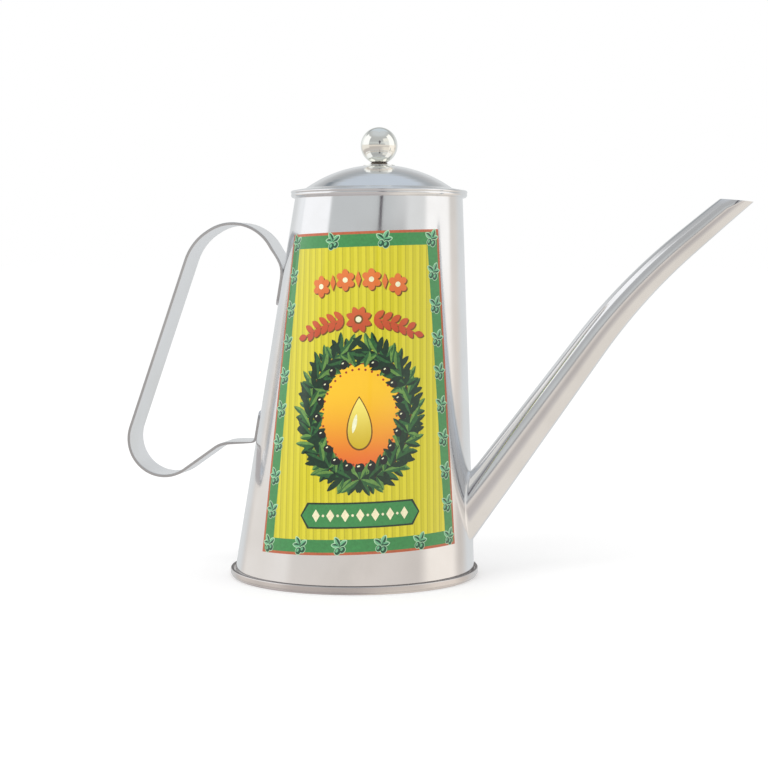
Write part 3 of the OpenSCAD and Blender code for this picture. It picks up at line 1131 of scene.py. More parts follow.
@dataclass
class Handle(SubAssembly):
    """The bent strap with its two tabs, which are curved to lie on the wall, and their weld marks."""

    wall: WallCone = field(default_factory=WallCone)
    width: float = 18.0
    thick: float = 1.2
    edge_r: float = 0.16
    press: float = 0.15
    upper_tab_h: float = 117.0
    leave_h: float = 130.0
    root_h: float = 57.6
    lower_tab_h: float = 71.0
    tab_round: float = 4.0
    settle: float = 15.0
    across: int = 14

    @cached_property
    def lift(self) -> float:
        """How far the strap's middle stands off the wall on a tab."""
        slope = math.radians(self.wall.lean_deg) + self.wall.half_angle
        return (self.thick / 2 - self.press) / math.cos(slope)

    def middle_line(self) -> list[Vector]:
        """The strap's middle line as (X, Z), from the upper tab's end round to the lower tab's end.

        Returns:
            Points about 3 mm apart, closer in the bends.
        """
        left = self.wall.left
        corners = [
            (left(self.upper_tab_h) - self.lift, self.upper_tab_h, 0),
            (left(self.leave_h) - self.lift, self.leave_h, 22),
            (left(162.8) - 15.3, 162.8, 19.5),
            (left(144.8) - 42.4, 144.8, 23.4),
            (left(15.3) - 66.4, 15.3, 16.1),
            (left(56.7) - 15, 56.7, 13),
            (left(self.root_h) - 1.7, self.root_h, 6),
            (left(self.lower_tab_h) - self.lift, self.lower_tab_h, 0),
        ]
        line = rounded(corners, 4.0)
        made = [line[0]]
        for here, there in zip(line, line[1:]):
            count = max(1, math.ceil((there - here).length / 3.0))
            made += [here.lerp(there, (i + 1) / count) for i in range(count)]
        return made

    def section(self) -> list[tuple[float, float]]:
        """The strap's section: a flat bar with round edges.

        Returns:
            Points as (share of half the width, distance off the middle).
        """
        half, thick, edge = self.width / 2, self.thick / 2, self.edge_r
        flat = half - edge
        top = [(-flat + 2 * flat * i / self.across, thick) for i in range(self.across + 1)]
        right = [(p.x, p.y) for p in arc((flat, thick - edge), edge, 90, 0, 4)][1:]
        right += [(p.x, p.y) for p in arc((flat, edge - thick), edge, 0, -90, 4)][:-1]
        low = [(-x, -y) for x, y in top]
        left = [(-x, -y) for x, y in right]
        return [(x / half, y) for x, y in [*top, *right, *low, *left]]

    def build(self) -> None:
        """Builds the strap and its weld marks."""
        line = self.middle_line()
        lengths = [0.0]
        for here, there in zip(line, line[1:]):
            lengths.append(lengths[-1] + (there - here).length)
        total = lengths[-1]
        upper_l = self.leave_h - self.upper_tab_h
        lower_l = self.lower_tab_h - self.root_h
        extra = self.end_marks(line, lengths)
        rings = []
        for place, along, heading in extra:
            near = min(along, total - along)
            tab_l = upper_l if along < total / 2 else lower_l
            hold = 1.0 - min(max((near - tab_l + 2.0) / self.settle, 0.0), 1.0)
            hold = hold * hold * (3 - 2 * hold)
            rings.append(self.strap_ring(place, heading, near, hold))
        band = lofted(rings)
        band.normal_update()
        for face in band.faces:
            face.material_index = int(abs(face.normal.y) > 0.8)
        self.piece("handle_band", band, [STRAP, CUT], "satin_steel", ["handle_strap"], crease_deg=50)
        for number, height in enumerate((self.upper_tab_h + 7.0, self.lower_tab_h - 6.5)):
            for side in (-1, 1):
                name = f"spot_weld_{number * 2 + (side + 1) // 2 + 1}"
                self.piece(name, self.weld_mark(height, side * 4.2), [STRAP], "satin_steel", crease_deg=60)

    def end_marks(self, line: list[Vector], lengths: list[float]) -> list[tuple[Vector, float, float]]:
        """Places along the strap, with close ones at both rounded ends.

        Args:
            line: The middle line.
            lengths: Distance of each of its points from the start.

        Returns:
            Each place as its point, its distance from the start and its heading.
        """
        total = lengths[-1]
        close = [0.0, 0.12, 0.35, 0.7, 1.2, 1.8, 2.5, 3.2, 4.0]
        wanted = sorted({*close, *(s for s in lengths if 4.5 < s < total - 4.5), *(total - c for c in close)})
        made = []
        for along in wanted:
            index = max(i for i, s in enumerate(lengths[:-1]) if s <= along + 1e-9)
            share = (along - lengths[index]) / (lengths[index + 1] - lengths[index])
            place = line[index].lerp(line[index + 1], share)
            before = line[max(index - 1, 0)] if share < 1e-6 else line[index]
            after = line[index + 1]
            step = after - before
            made.append((place, along, math.atan2(step.y, step.x)))
        return made

    def strap_ring(self, place: Vector, heading: float, near: float, hold: float) -> list[Vector]:
        """One ring of the strap.

        Args:
            place: The middle line's point as (X, Z).
            heading: The middle line's direction there.
            near: Distance to the nearer end.
            hold: How far the ring follows the wall, from 0 to 1.

        Returns:
            The ring's points.
        """
        short = max(self.tab_round - near, 0.0)
        half = self.width / 2 - self.tab_round + math.sqrt(max(self.tab_round**2 - short**2, 0.0))
        blunt = min(1.0, 0.55 + near)
        out = Vector((-math.sin(heading), 0, math.cos(heading)))
        wall_out = self.wall.normal(-math.pi / 2)
        facing = 1 if out.dot(wall_out) >= 0 else -1
        ring = []
        for share, off in self.section():
            y = share * half
            off *= blunt
            free = Vector((place.x, y, place.y)) + out * off
            turn = -math.pi / 2 - math.asin(min(1.0, y / self.wall.radius(place.y)))
            held = self.wall.point(turn, place.y, self.lift + off * facing)
            ring.append(free.lerp(held, hold))
        return ring

    def weld_mark(self, height: float, side: float) -> bmesh.types.BMesh:
        """A spot weld's shallow ring on a tab.

        Args:
            height: Its height on the wall.
            side: How far it lies from the strap's middle.

        Returns:
            Its mesh.
        """
        outline = [(1.9, -0.1), (1.85, 0.05), (1.65, 0.09), (1.45, 0.05), (1.2, -0.02), (0.7, -0.03), (0.0, -0.02)]
        bm = spun([Vector(p) for p in [(0.0, -0.3), (1.9, -0.3), *outline]], 32, closed=False)
        turn = -math.pi / 2 - math.asin(side / self.wall.radius(height))
        normal = self.wall.normal(turn)
        spot = self.wall.point(turn, height, self.lift + self.thick / 2)
        matrix = Matrix.Translation(spot) @ normal.to_track_quat("Z", "Y").to_matrix().to_4x4()
        bmesh.ops.transform(bm, matrix=matrix, verts=bm.verts)
        return bm


class InkSheet:
    """Flat shapes in the label's own millimetres, each at a height over the wall, before they are laid on it."""

    def __init__(self, inks: Sequence[Ink]) -> None:
        """Starts an empty sheet.

        Args:
            inks: The inks that its shapes use.
        """
        self.bm = bmesh.new()
        self.inks = list(inks)

    def _ink(self, verts: Sequence[bmesh.types.BMVert], ink: Ink) -> None:
        """Gives the faces on these points an ink."""
        for face in {face for vert in verts for face in vert.link_faces}:
            face.material_index = self.inks.index(ink)

    def disc(self, ink: Ink, spot: tuple[float, float], size: tuple[float, float], turn_deg: float = 0.0,
             height: float = 0.15, sides: int = 20) -> None:
        """Draws an oval.

        Args:
            ink: Its ink.
            spot: Its middle.
            size: Half its length and half its width.
            turn_deg: Its turn.
            height: Its height over the wall.
            sides: How many sides it has.
        """
        matrix = self.placing(spot, turn_deg, height) @ Matrix.Diagonal((*size, 1, 1))
        made = bmesh.ops.create_circle(self.bm, cap_ends=True, radius=1.0, segments=sides, matrix=matrix)
        self._ink(made["verts"], ink)

    def placing(self, spot: tuple[float, float], turn_deg: float, height: float) -> Matrix:
        """The matrix that brings a shape to its place on the sheet.

        Args:
            spot: Where it goes.
            turn_deg: Its turn.
            height: Its height over the wall.

        Returns:
            The matrix.
        """
        return Matrix.Translation((*spot, height)) @ Matrix.Rotation(math.radians(turn_deg), 4, "Z")

    def leaf(self, inks: tuple[Ink, Ink], spot: tuple[float, float], size: tuple[float, float],
             turn_deg: float, height: float = 0.15) -> None:
        """Draws a leaf from its stalk, with a light and a dark half.

        Args:
            inks: The inks of its left and right half.
            spot: The stalk's end.
            size: Its length and width.
            turn_deg: The way it points.
            height: Its height over the wall.
        """
        made = bmesh.ops.create_circle(self.bm, cap_ends=True, radius=1.0, segments=14)["verts"]
        for vert in made:
            belly = abs(vert.co.y) ** 0.55
            vert.co = ((vert.co.x + 1) / 2 * size[0], vert.co.y * belly * size[1] / 2, 0)
        parts = [*made, *{e for v in made for e in v.link_edges}, *{f for v in made for f in v.link_faces}]
        cut = bmesh.ops.bisect_plane(self.bm, geom=parts, plane_co=(0, 0, 0), plane_no=(0, 1, 0))["geom"]
        verts = [part for part in cut if isinstance(part, bmesh.types.BMVert)]
        for face in [part for part in cut if isinstance(part, bmesh.types.BMFace)]:
            side = 0 if face.calc_center_median().y > 0 else 1
            face.material_index = self.inks.index(inks[side])
        bmesh.ops.transform(self.bm, matrix=self.placing(spot, turn_deg, height), verts=verts)

    def shape(self, ink: Ink, corners: Sequence[tuple[float, float]], height: float = 0.15) -> None:
        """Draws a shape with straight sides.

        Args:
            ink: Its ink.
            corners: Its corners, in order.
            height: Its height over the wall.
        """
        verts = [self.bm.verts.new((x, y, height)) for x, y in corners]
        self.bm.faces.new(verts)
        self._ink(verts, ink)

    def stroke(self, ink: Ink, line: Sequence[tuple[float, float]], width: Callable[[float], float],
               height: float = 0.15) -> None:
        """Draws a line of changing width.

        Args:
            ink: Its ink.
            line: Its points.
            width: Its width at a share of its length.
            height: Its height over the wall.
        """
        points = [Vector(p) for p in line]
        ends = []
        for index, point in enumerate(points):
            step = points[min(index + 1, len(points) - 1)] - points[max(index - 1, 0)]
            across = Vector((-step.y, step.x)).normalized() * width(index / (len(points) - 1)) / 2
            ends.append((point + across, point - across))
        verts = [self.bm.verts.new((*end, height)) for end in ends[0]]
        front = self.bm.edges.new(verts)
        for pair in ends[1:]:
            made = bmesh.ops.extrude_edge_only(self.bm, edges=[front])["geom"]
            new = [part for part in made if isinstance(part, bmesh.types.BMVert)]
            front = next(p for p in made if isinstance(p, bmesh.types.BMEdge) and set(p.verts) == set(new))
            link = {v: next(e.other_vert(v) for e in v.link_edges if e is not front) for v in new}
            for vert in new:
                vert.co = (*pair[0 if link[vert] is verts[0] else 1], height)
            verts = sorted(new, key=lambda v: link[v] is not verts[0])
            self._ink(verts, ink)

    def split(self, half_w: float, half_h: float, column: float, row: float) -> None:
        """Cuts the shapes along columns and rows, so that they can follow the round wall.

        Args:
            half_w: Half the width that is cut.
            half_h: Half the height that is cut.
            column: The columns' width.
            row: The rows' height.
        """
        for reach, step, normal in ((half_w, column, Vector((1, 0, 0))), (half_h, row, Vector((0, 1, 0)))):
            count = int(reach / step)
            for index in range(-count, count + 1):
                parts = [*self.bm.verts, *self.bm.edges, *self.bm.faces]
                bmesh.ops.bisect_plane(self.bm, geom=parts, plane_co=normal * index * step, plane_no=normal)


@dataclass
class Label(SubAssembly):
    """The printed sheet round the front of the wall, with a print of the builder's own."""

    wall: WallCone = field(default_factory=WallCone)
    middle: tuple[float, float] = (9.12, 82.3)
    half_h: float = 66.1
    top_w: float = 61.6
    low_w: float = 78.4
    turn_deg: float = 2.0
    skew: float = 5.9
    face_out: float = 0.1
    edge_w: float = 1.1
    band_w: float = 5.2
    column: float = 1.5
    row: float = 4.0

    def front_point(self, share: float, up: float) -> Vector:
        """A point of the sheet's outline as seen from the front.

        Args:
            share: -1 on the left edge, 1 on the right edge.
            up: -1 at the foot, 1 at the head.

        Returns:
            The point as (X, Z).
        """
        half = (self.top_w + self.low_w) / 4 + (self.top_w - self.low_w) / 4 * up
        flat = Vector((half * share + self.skew / 2 * up, self.half_h * up))
        return Vector(self.middle) + Matrix.Rotation(math.radians(self.turn_deg), 2) @ flat

    def edge_turn(self, side: int, up: float) -> float:
        """The turn round the can at which the sheet's left (-1) or right (1) edge lies."""
        point = self.front_point(side, up)
        return math.asin((point.x - self.wall.centre(point.y)) / self.wall.radius(point.y))

    def half_w(self, up: float) -> float:
        """Half the sheet's width along the wall.

        Args:
            up: -1 at the foot, 1 at the head.

        Returns:
            Half the width, between the true widths of foot and head.
        """
        ends = []
        for end in (-1, 1):
            reach = self.wall.radius(self.middle[1] + self.half_h * end)
            ends.append((self.edge_turn(1, end) - self.edge_turn(-1, end)) / 2 * reach)
        return ends[0] + (ends[1] - ends[0]) * (up + 1) / 2

    def lay(self, x: float, y: float, out: float) -> Vector:
        """Brings a point of the flat print onto the wall.

        Args:
            x: Distance across from the print's middle.
            y: Distance up from it.
            out: Height over the wall.

        Returns:
            The point on the can.
        """
        up = y / self.half_h
        share = (x / self.half_w(up) + 1) / 2
        turn = self.edge_turn(-1, up) * (1 - share) + self.edge_turn(1, up) * share
        left, right = self.front_point(-1, up), self.front_point(1, up)
        slope = (right.y - left.y) / (right.x - left.x)
        height = left.y
        for _ in range(4):
            across = self.wall.centre(height) + self.wall.radius(height) * math.sin(turn)
            height = left.y + (across - left.x) * slope
        return self.wall.point(turn, height, out)

    def wrap(self, bm: bmesh.types.BMesh) -> None:
        """Writes each face's flat place to the print map, then lays the mesh on the wall."""
        layer = bm.loops.layers.uv.new("print")
        for face in bm.faces:
            for loop in face.loops:
                loop[layer].uv = (loop.vert.co.x / UV_MM, loop.vert.co.y / UV_MM)
        for vert in bm.verts:
            vert.co = self.lay(*vert.co)

    def sheet(self) -> None:
        """Builds the sheet with its edge line, band and ground."""
        ink = InkSheet([Ink.GROUND, Ink.BAND, Ink.EDGE])
        low, high = self.half_w(-1), self.half_w(1)
        corners = [(-low, -self.half_h), (low, -self.half_h), (high, self.half_h), (-high, self.half_h)]
        ink.shape(Ink.GROUND, corners, self.face_out)
        ink.bm.normal_update()
        for width, rim in ((self.edge_w, Ink.EDGE), (self.band_w, Ink.BAND)):
            ground = [face for face in ink.bm.faces if face.material_index == 0]
            made = bmesh.ops.inset_region(
                ink.bm, faces=ground, thickness=width, use_boundary=True, use_even_offset=True
            )
            for face in made["faces"]:
                face.material_index = ink.inks.index(rim)
        ink.split(low, self.half_h, self.column, self.row)
        self.wrap(ink.bm)
        bmesh.ops.recalc_face_normals(ink.bm, faces=ink.bm.faces)
        if sum(face.normal.y for face in ink.bm.faces) > 0:
            bmesh.ops.reverse_faces(ink.bm, faces=ink.bm.faces)
        bmesh.ops.solidify(ink.bm, geom=ink.bm.faces[:], thickness=self.face_out - 0.01)
        finishes = [i.value for i in ink.inks]
        self.piece("label_sheet", ink.bm, finishes, "label_print", ["front_label"], closed=False)

    def motif(self, name: str, ink: InkSheet) -> None:
        """Lays a finished sheet of motifs on the wall as a piece.

        Args:
            name: The piece's name.
            ink: The sheet.
        """
        ink.split(self.half_w(-1), self.half_h, self.column, self.row)
        self.wrap(ink.bm)
        for face in ink.bm.faces:
            face.normal_update()
        wrong = [face for face in ink.bm.faces if face.normal.dot(self.outward(face)) < 0]
        bmesh.ops.reverse_faces(ink.bm, faces=wrong)
        self.piece(name, ink.bm, [i.value for i in ink.inks], "label_print", closed=False)

    def outward(self, face: bmesh.types.BMFace) -> Vector:
        """The wall's outward direction at a face."""
        return self.wall.normal(self.wall.turn_at(face.calc_center_median()))

    def border(self) -> InkSheet:
        """Draws the band's sprigs: leaves over two olives, over and over.

        Returns:
            The sheet.
        """
        ink = InkSheet([Ink.BAND_LINE, Ink.BAND_LEAF, Ink.BAND_SHADE])
        off = self.edge_w + self.band_w / 2
        spots = []
        for up, count in ((-1, 5), (1, 3)):
            reach = self.half_w(up) - off
            spots += [(reach * (2 * index / count - 1), up * (self.half_h - off)) for index in range(1, count)]
        for side in (-1, 1):
            for index in range(10):
                y = (self.half_h - off) * (index / 4.5 - 1)
                spots.append((side * (self.half_w(y / self.half_h) - off - 0.4), y))
        for spot in spots:
            self.sprig(ink, spot, 1 if spot[0] > 0 else -1)
        return ink

    def sprig(self, ink: InkSheet, spot: tuple[float, float], side: int) -> None:
        """Draws one sprig of the band.

        Args:
            ink: The sheet that it goes on.
            spot: Its middle.
            side: -1 or 1, the side to which it leans.
        """
        x, y = spot
        for turn, long, wide in ((90 - 28 * side, 3.9, 1.9), (90 + 52 * side, 3.5, 1.8), (90 - 82 * side, 3.3, 1.6)):
            ink.leaf((Ink.BAND_LINE, Ink.BAND_LINE), (x, y), (long + 0.45, wide + 0.6), turn, 0.13)
            ink.leaf((Ink.BAND_LEAF, Ink.BAND_SHADE), (x, y), (long, wide), turn, 0.15)
        for across, down, size in ((-1.1 * side, -1.5, 1.35), (0.9 * side, -2.1, 1.5)):
            olive = (x + across, y + down)
            ink.disc(Ink.BAND_LINE, olive, (size + 0.25, size * 0.8 + 0.25), 60, 0.16)
            ink.disc(Ink.BAND_SHADE, olive, (size, size * 0.8), 60, 0.17)
            ink.disc(Ink.BAND_LEAF, (olive[0] - 0.3, olive[1] + 0.25), (size * 0.55, size * 0.35), 60, 0.19, 12)

    def title(self) -> InkSheet:
        """Draws the head ornament: an arch of blossoms over a rosette between two garlands.

        Returns:
            The sheet.
        """
        ink = InkSheet([Ink.TITLE, Ink.TITLE_SHADE, Ink.SHINE])
        for shade, shift, height in ((Ink.TITLE_SHADE, 0.5, 0.15), (Ink.TITLE, 0.0, 0.18)):
            for index in range(4):
                x = 11.0 * index - 16.5
                self.blossom(ink, shade, (x + shift, 46.6 - 0.01 * x * x - shift), height)
            for index in range(3):
                x = 11.0 * index - 11.0
                y = 46.6 - 0.01 * x * x
                corners = [(x - 1.2, y), (x, y - 3.4), (x + 1.2, y), (x, y + 3.4)]
                ink.shape(shade, [(across + shift, up - shift) for across, up in corners], height)
            for index in range(8):
                ink.leaf((shade, shade), (shift, 30 - shift), (5.6, 3.1), index * 45 + 22.5, height)
            for side in (-1, 1):
                self.garland(ink, shade, side, shift, height)
        ink.disc(Ink.TITLE_SHADE, (0, 30), (1.9, 1.9), 0, 0.2)
        ink.disc(Ink.SHINE, (0, 30), (1.2, 1.2), 0, 0.22)
        return ink

    def blossom(self, ink: InkSheet, shade: Ink, middle: tuple[float, float], height: float) -> None:
        """Draws a blossom of six round petals with a pale heart.

        Args:
            ink: The sheet that it goes on.
            shade: Its ink.
            middle: Its middle.
            height: Its height over the wall.
        """
        for index in range(6):
            turn = math.radians(60 * index + 30)
            petal = (middle[0] + 2.4 * math.cos(turn), middle[1] + 2.7 * math.sin(turn))
            ink.disc(shade, petal, (1.8, 1.45), 60 * index + 30, height, 16)
        ink.disc(Ink.SHINE if shade is Ink.TITLE else shade, middle, (1.1, 1.1), 0, height + 0.02, 14)

    def garland(self, ink: InkSheet, shade: Ink, side: int, shift: float, height: float) -> None:
        """Draws a leafy twig that leaves the rosette.

        Args:
            ink: The sheet that it goes on.
            shade: Its ink.
            side: -1 for the left one, 1 for the right one.
            shift: How far it is shifted, right and down.
            height: Its height over the wall.
        """
        line = [(side * (6.4 + 3.5 * i) + shift, 30.4 - 0.012 * (6.4 + 3.5 * i) ** 2 - shift) for i in range(6)]
        ink.stroke(shade, line, lambda s: 1.0 - 0.4 * s, height)
        for index, spot in enumerate(line):
            tip = 90 - side * (94 + 2.2 * index)
            for lean in (44, -44) if index < 5 else (0,):
                ink.leaf((shade, shade), spot, (5.4 - 0.2 * index, 2.6), tip + lean, height)

    def medal(self) -> InkSheet:
        """Draws the oval medallion with its oil drop.

        Returns:
            The sheet.
        """
        ink = InkSheet([Ink.MEDAL_RIM, Ink.MEDAL, Ink.DROP, Ink.TITLE_SHADE, Ink.SHINE])
        centre = (0.0, -10.0)
        ink.disc(Ink.MEDAL_RIM, centre, (18.6, 22.6), 0, 0.13, 72)
        ink.disc(Ink.MEDAL, centre, (17.7, 21.7), 0, 0.15, 72)
        for index in range(36):
            turn = math.tau * index / 36
            spot = (centre[0] + 15.6 * math.cos(turn), centre[1] + 19.6 * math.sin(turn))
            ink.disc(Ink.MEDAL_RIM, spot, (0.5, 0.5), 0, 0.17, 8)
        for shade, grow, height in ((Ink.TITLE_SHADE, 0.7, 0.17), (Ink.DROP, 0.0, 0.19)):
            ink.shape(shade, self.drop_outline(centre, grow), height)
        ink.leaf((Ink.SHINE, Ink.SHINE), (-2.8, -16.5), (8.0, 1.8), 78, 0.21)
        return ink

    def drop_outline(self, centre: tuple[float, float], grow: float) -> list[tuple[float, float]]:
        """The outline of a drop.

        Args:
            centre: The middle of its round part.
            grow: How much it is larger than the plain drop.

        Returns:
            Its points.
        """
        points = []
        for index in range(40):
            turn = math.tau * index / 40
            width = (6.2 + grow) * math.sin(turn) * math.sin(turn / 2) ** 0.9
            points.append((centre[0] + width, centre[1] - 2.5 + (10.4 + grow) * math.cos(turn)))
        return points

    def wreath(self) -> InkSheet:
        """Draws two olive branches that rise round the medallion.

        Returns:
            The sheet.
        """
        ink = InkSheet([Ink.TWIG, Ink.LEAF_DARK, Ink.LEAF_MID, Ink.LEAF_LIGHT, Ink.OLIVE, Ink.SHINE])
        centre = Vector((0.0, -9.0))
        for side in (-1, 1):
            line = []
            for index in range(41):
                turn = math.radians(-98 + 176 * index / 40)
                spot = centre + Vector((side * 21.8 * math.cos(turn), 26.5 * math.sin(turn)))
                line.append(tuple(spot))
            ink.stroke(Ink.TWIG, line, lambda s: 1.5 - 1.0 * s, 0.16)
            for index in range(1, 21):
                here, there = Vector(line[index * 2 - 2]), Vector(line[index * 2])
                heading = math.degrees(math.atan2(there.y - here.y, there.x - here.x))
                self.shoot(ink, index, tuple(there), heading, side)
        return ink

    def shoot(self, ink: InkSheet, index: int, spot: tuple[float, float], heading: float, side: int) -> None:
        """Draws the leaves and olives at one knot of a branch.

        Args:
            ink: The sheet that they go on.
            index: The knot's number.
            spot: Its place.
            heading: The branch's direction there.
            side: -1 for the left branch, 1 for the right one.
        """
        pairs = ((Ink.LEAF_MID, Ink.LEAF_DARK), (Ink.LEAF_DARK, Ink.LEAF_DARK), (Ink.LEAF_LIGHT, Ink.LEAF_MID))
        fan = (58, -52, 26, -24, 88, -84)
        for number, lean in enumerate(fan):
            wobble = math.sin(index * 2.3 + number * 1.7)
            long = (8.4 if abs(lean) < 60 else 6.4) + 0.9 * wobble
            height = 0.17 + 0.008 * ((index + number) % 5)
            inks = pairs[(index * 2 + number) % 3]
            if side < 0:
                inks = (inks[1], inks[0])
            ink.leaf(inks, spot, (long, 2.5), heading + side * lean + wobble * 7, height)
        if index % 2:
            turn = math.radians(heading + side * 100)
            reach = 4.4 + math.sin(index) * 0.6
            olive = (spot[0] + reach * math.cos(turn), spot[1] + reach * math.sin(turn))
            ink.disc(Ink.OLIVE, olive, (2.0, 1.55), heading + 40, 0.215, 16)
            ink.disc(Ink.SHINE, (olive[0] - 0.5, olive[1] + 0.6), (0.55, 0.3), 30, 0.225, 8)

    def plaque(self) -> InkSheet:
        """Draws the green plaque at the foot with its row of lozenges.

        Returns:
            The sheet.
        """
        ink = InkSheet([Ink.LEAF_DARK, Ink.BAND, Ink.CREAM, Ink.TITLE_SHADE])
        y = -50.0
        for shade, grow, height in ((Ink.LEAF_DARK, 0.7, 0.15), (Ink.BAND, 0.0, 0.17)):
            wide, high, cut = 25 + grow, 4.6 + grow, 3.2
            corners = [(-wide, y), (-wide + cut, y - high), (wide - cut, y - high)]
            corners += [(wide, y), (wide - cut, y + high), (-wide + cut, y + high)]
            ink.shape(shade, corners, height)
        for index in range(-3, 4):
            x = index * 6.2
            ink.shape(Ink.CREAM, [(x - 1.7, y), (x, y - 2.6), (x + 1.7, y), (x, y + 2.6)], 0.19)
        for index in range(-3, 3):
            ink.disc(Ink.CREAM, ((index + 0.5) * 6.2, y), (0.55, 0.55), 0, 0.19, 10)
        return ink

    def build(self) -> None:
        """Builds the sheet and its motifs."""
        self.sheet()
        self.motif("label_border", self.border())
        self.motif("label_title", self.title())
        self.motif("label_medal", self.medal())
        self.motif("label_wreath", self.wreath())
        self.motif("label_plaque", self.plaque())


@dataclass
class Lid(SubAssembly):
    """The lift-off lid: dome, step and brim pressed from one sheet, with the locating ring under it."""

    body: str = "lid"
    mouth_x: float = 11.04
    facets: int = 160
    sheet: float = 0.6
    brim_low: float = 165.8
    brim_r: float = 38.0
    dome_r: float = 54.386
    dome_top: float = 177.6
    dome_foot_r: float = 31.0
    sweep_w: float = 0.8
    lip_r: float = 0.65
    hole_r: float = 2.0
    skirt_r: float = 34.95
    skirt_t: float = 0.5
    skirt_h: float = 7.3
    flange_w: float = 3.0

    def dome_z(self, radius: float, inset: float = 0.0) -> float:
        """Height of the dome's skin at a radius, or of a skin that much inside it."""
        return self.dome_top - self.dome_r + math.sqrt((self.dome_r - inset) ** 2 - radius * radius)

    def shell(self) -> list[Vector]:
        """The pressed sheet's section.

        Returns:
            The points as (radius, height).
        """
        top = self.brim_low + self.sheet
        foot, count, roll = self.dome_foot_r, 14, self.lip_r
        radii = [self.hole_r + (foot - self.hole_r) * i / count for i in range(count + 1)]
        outer = [Vector((r, self.dome_z(r))) for r in radii]
        turn = foot + self.sweep_w
        knee = rounded([(foot, self.dome_z(foot), 0), (turn, self.dome_z(turn), 3.2), (self.brim_r - roll, top, 0)], 4.0)
        lip = arc((self.brim_r - roll, top - roll), roll, 76, -170, 16)
        start = (self.brim_r - 2.1 * roll, self.brim_low, 0)
        inside = radii[-2]
        under = rounded([start, (foot + 1.8, self.brim_low, 4.0), (inside, self.dome_z(inside, self.sheet), 0)], 5.0)
        inner = [Vector((r, self.dome_z(r, self.sheet))) for r in reversed(radii[:-2])]
        return braced([*outer, *knee[1:], *lip, *under, *inner], longest=6.0)

    def skirt(self) -> list[Vector]:
        """The locating ring's section, with its welded flange.

        Returns:
            The points as (radius, height).
        """
        top, low = self.brim_low, self.brim_low - self.skirt_h
        inner = self.skirt_r - self.skirt_t
        corners = [
            (self.skirt_r - self.flange_w, top - 0.25, 0),
            (self.skirt_r - self.flange_w, top, 0.15),
            (self.skirt_r, top, 0.6),
            (self.skirt_r, low, 0.2),
            (inner, low, 0.2),
            (inner, top - self.skirt_t, 0.4),
            (self.skirt_r - self.flange_w, top - self.skirt_t, 0.15),
            (self.skirt_r - self.flange_w, top - 0.3, 0),
        ]
        return braced(rounded(corners, 18.0), longest=8.0)

    def place(self, bm: bmesh.types.BMesh) -> bmesh.types.BMesh:
        """Moves a mesh over the mouth's middle and gives it back."""
        bmesh.ops.translate(bm, vec=(self.mouth_x, 0, 0), verts=bm.verts)
        return bm

    def build(self) -> None:
        """Builds the lid's sheet and its locating ring."""
        shell = self.place(spun(self.shell(), self.facets))
        self.piece("lid_dome", shell, [POLISHED], "polished_steel", ["lid_shell"], crease_deg=50)
        ring = self.place(spun(self.skirt(), self.facets))
        self.piece("locating_ring", ring, [SATIN], "satin_steel", ["lid_skirt"], crease_deg=50)


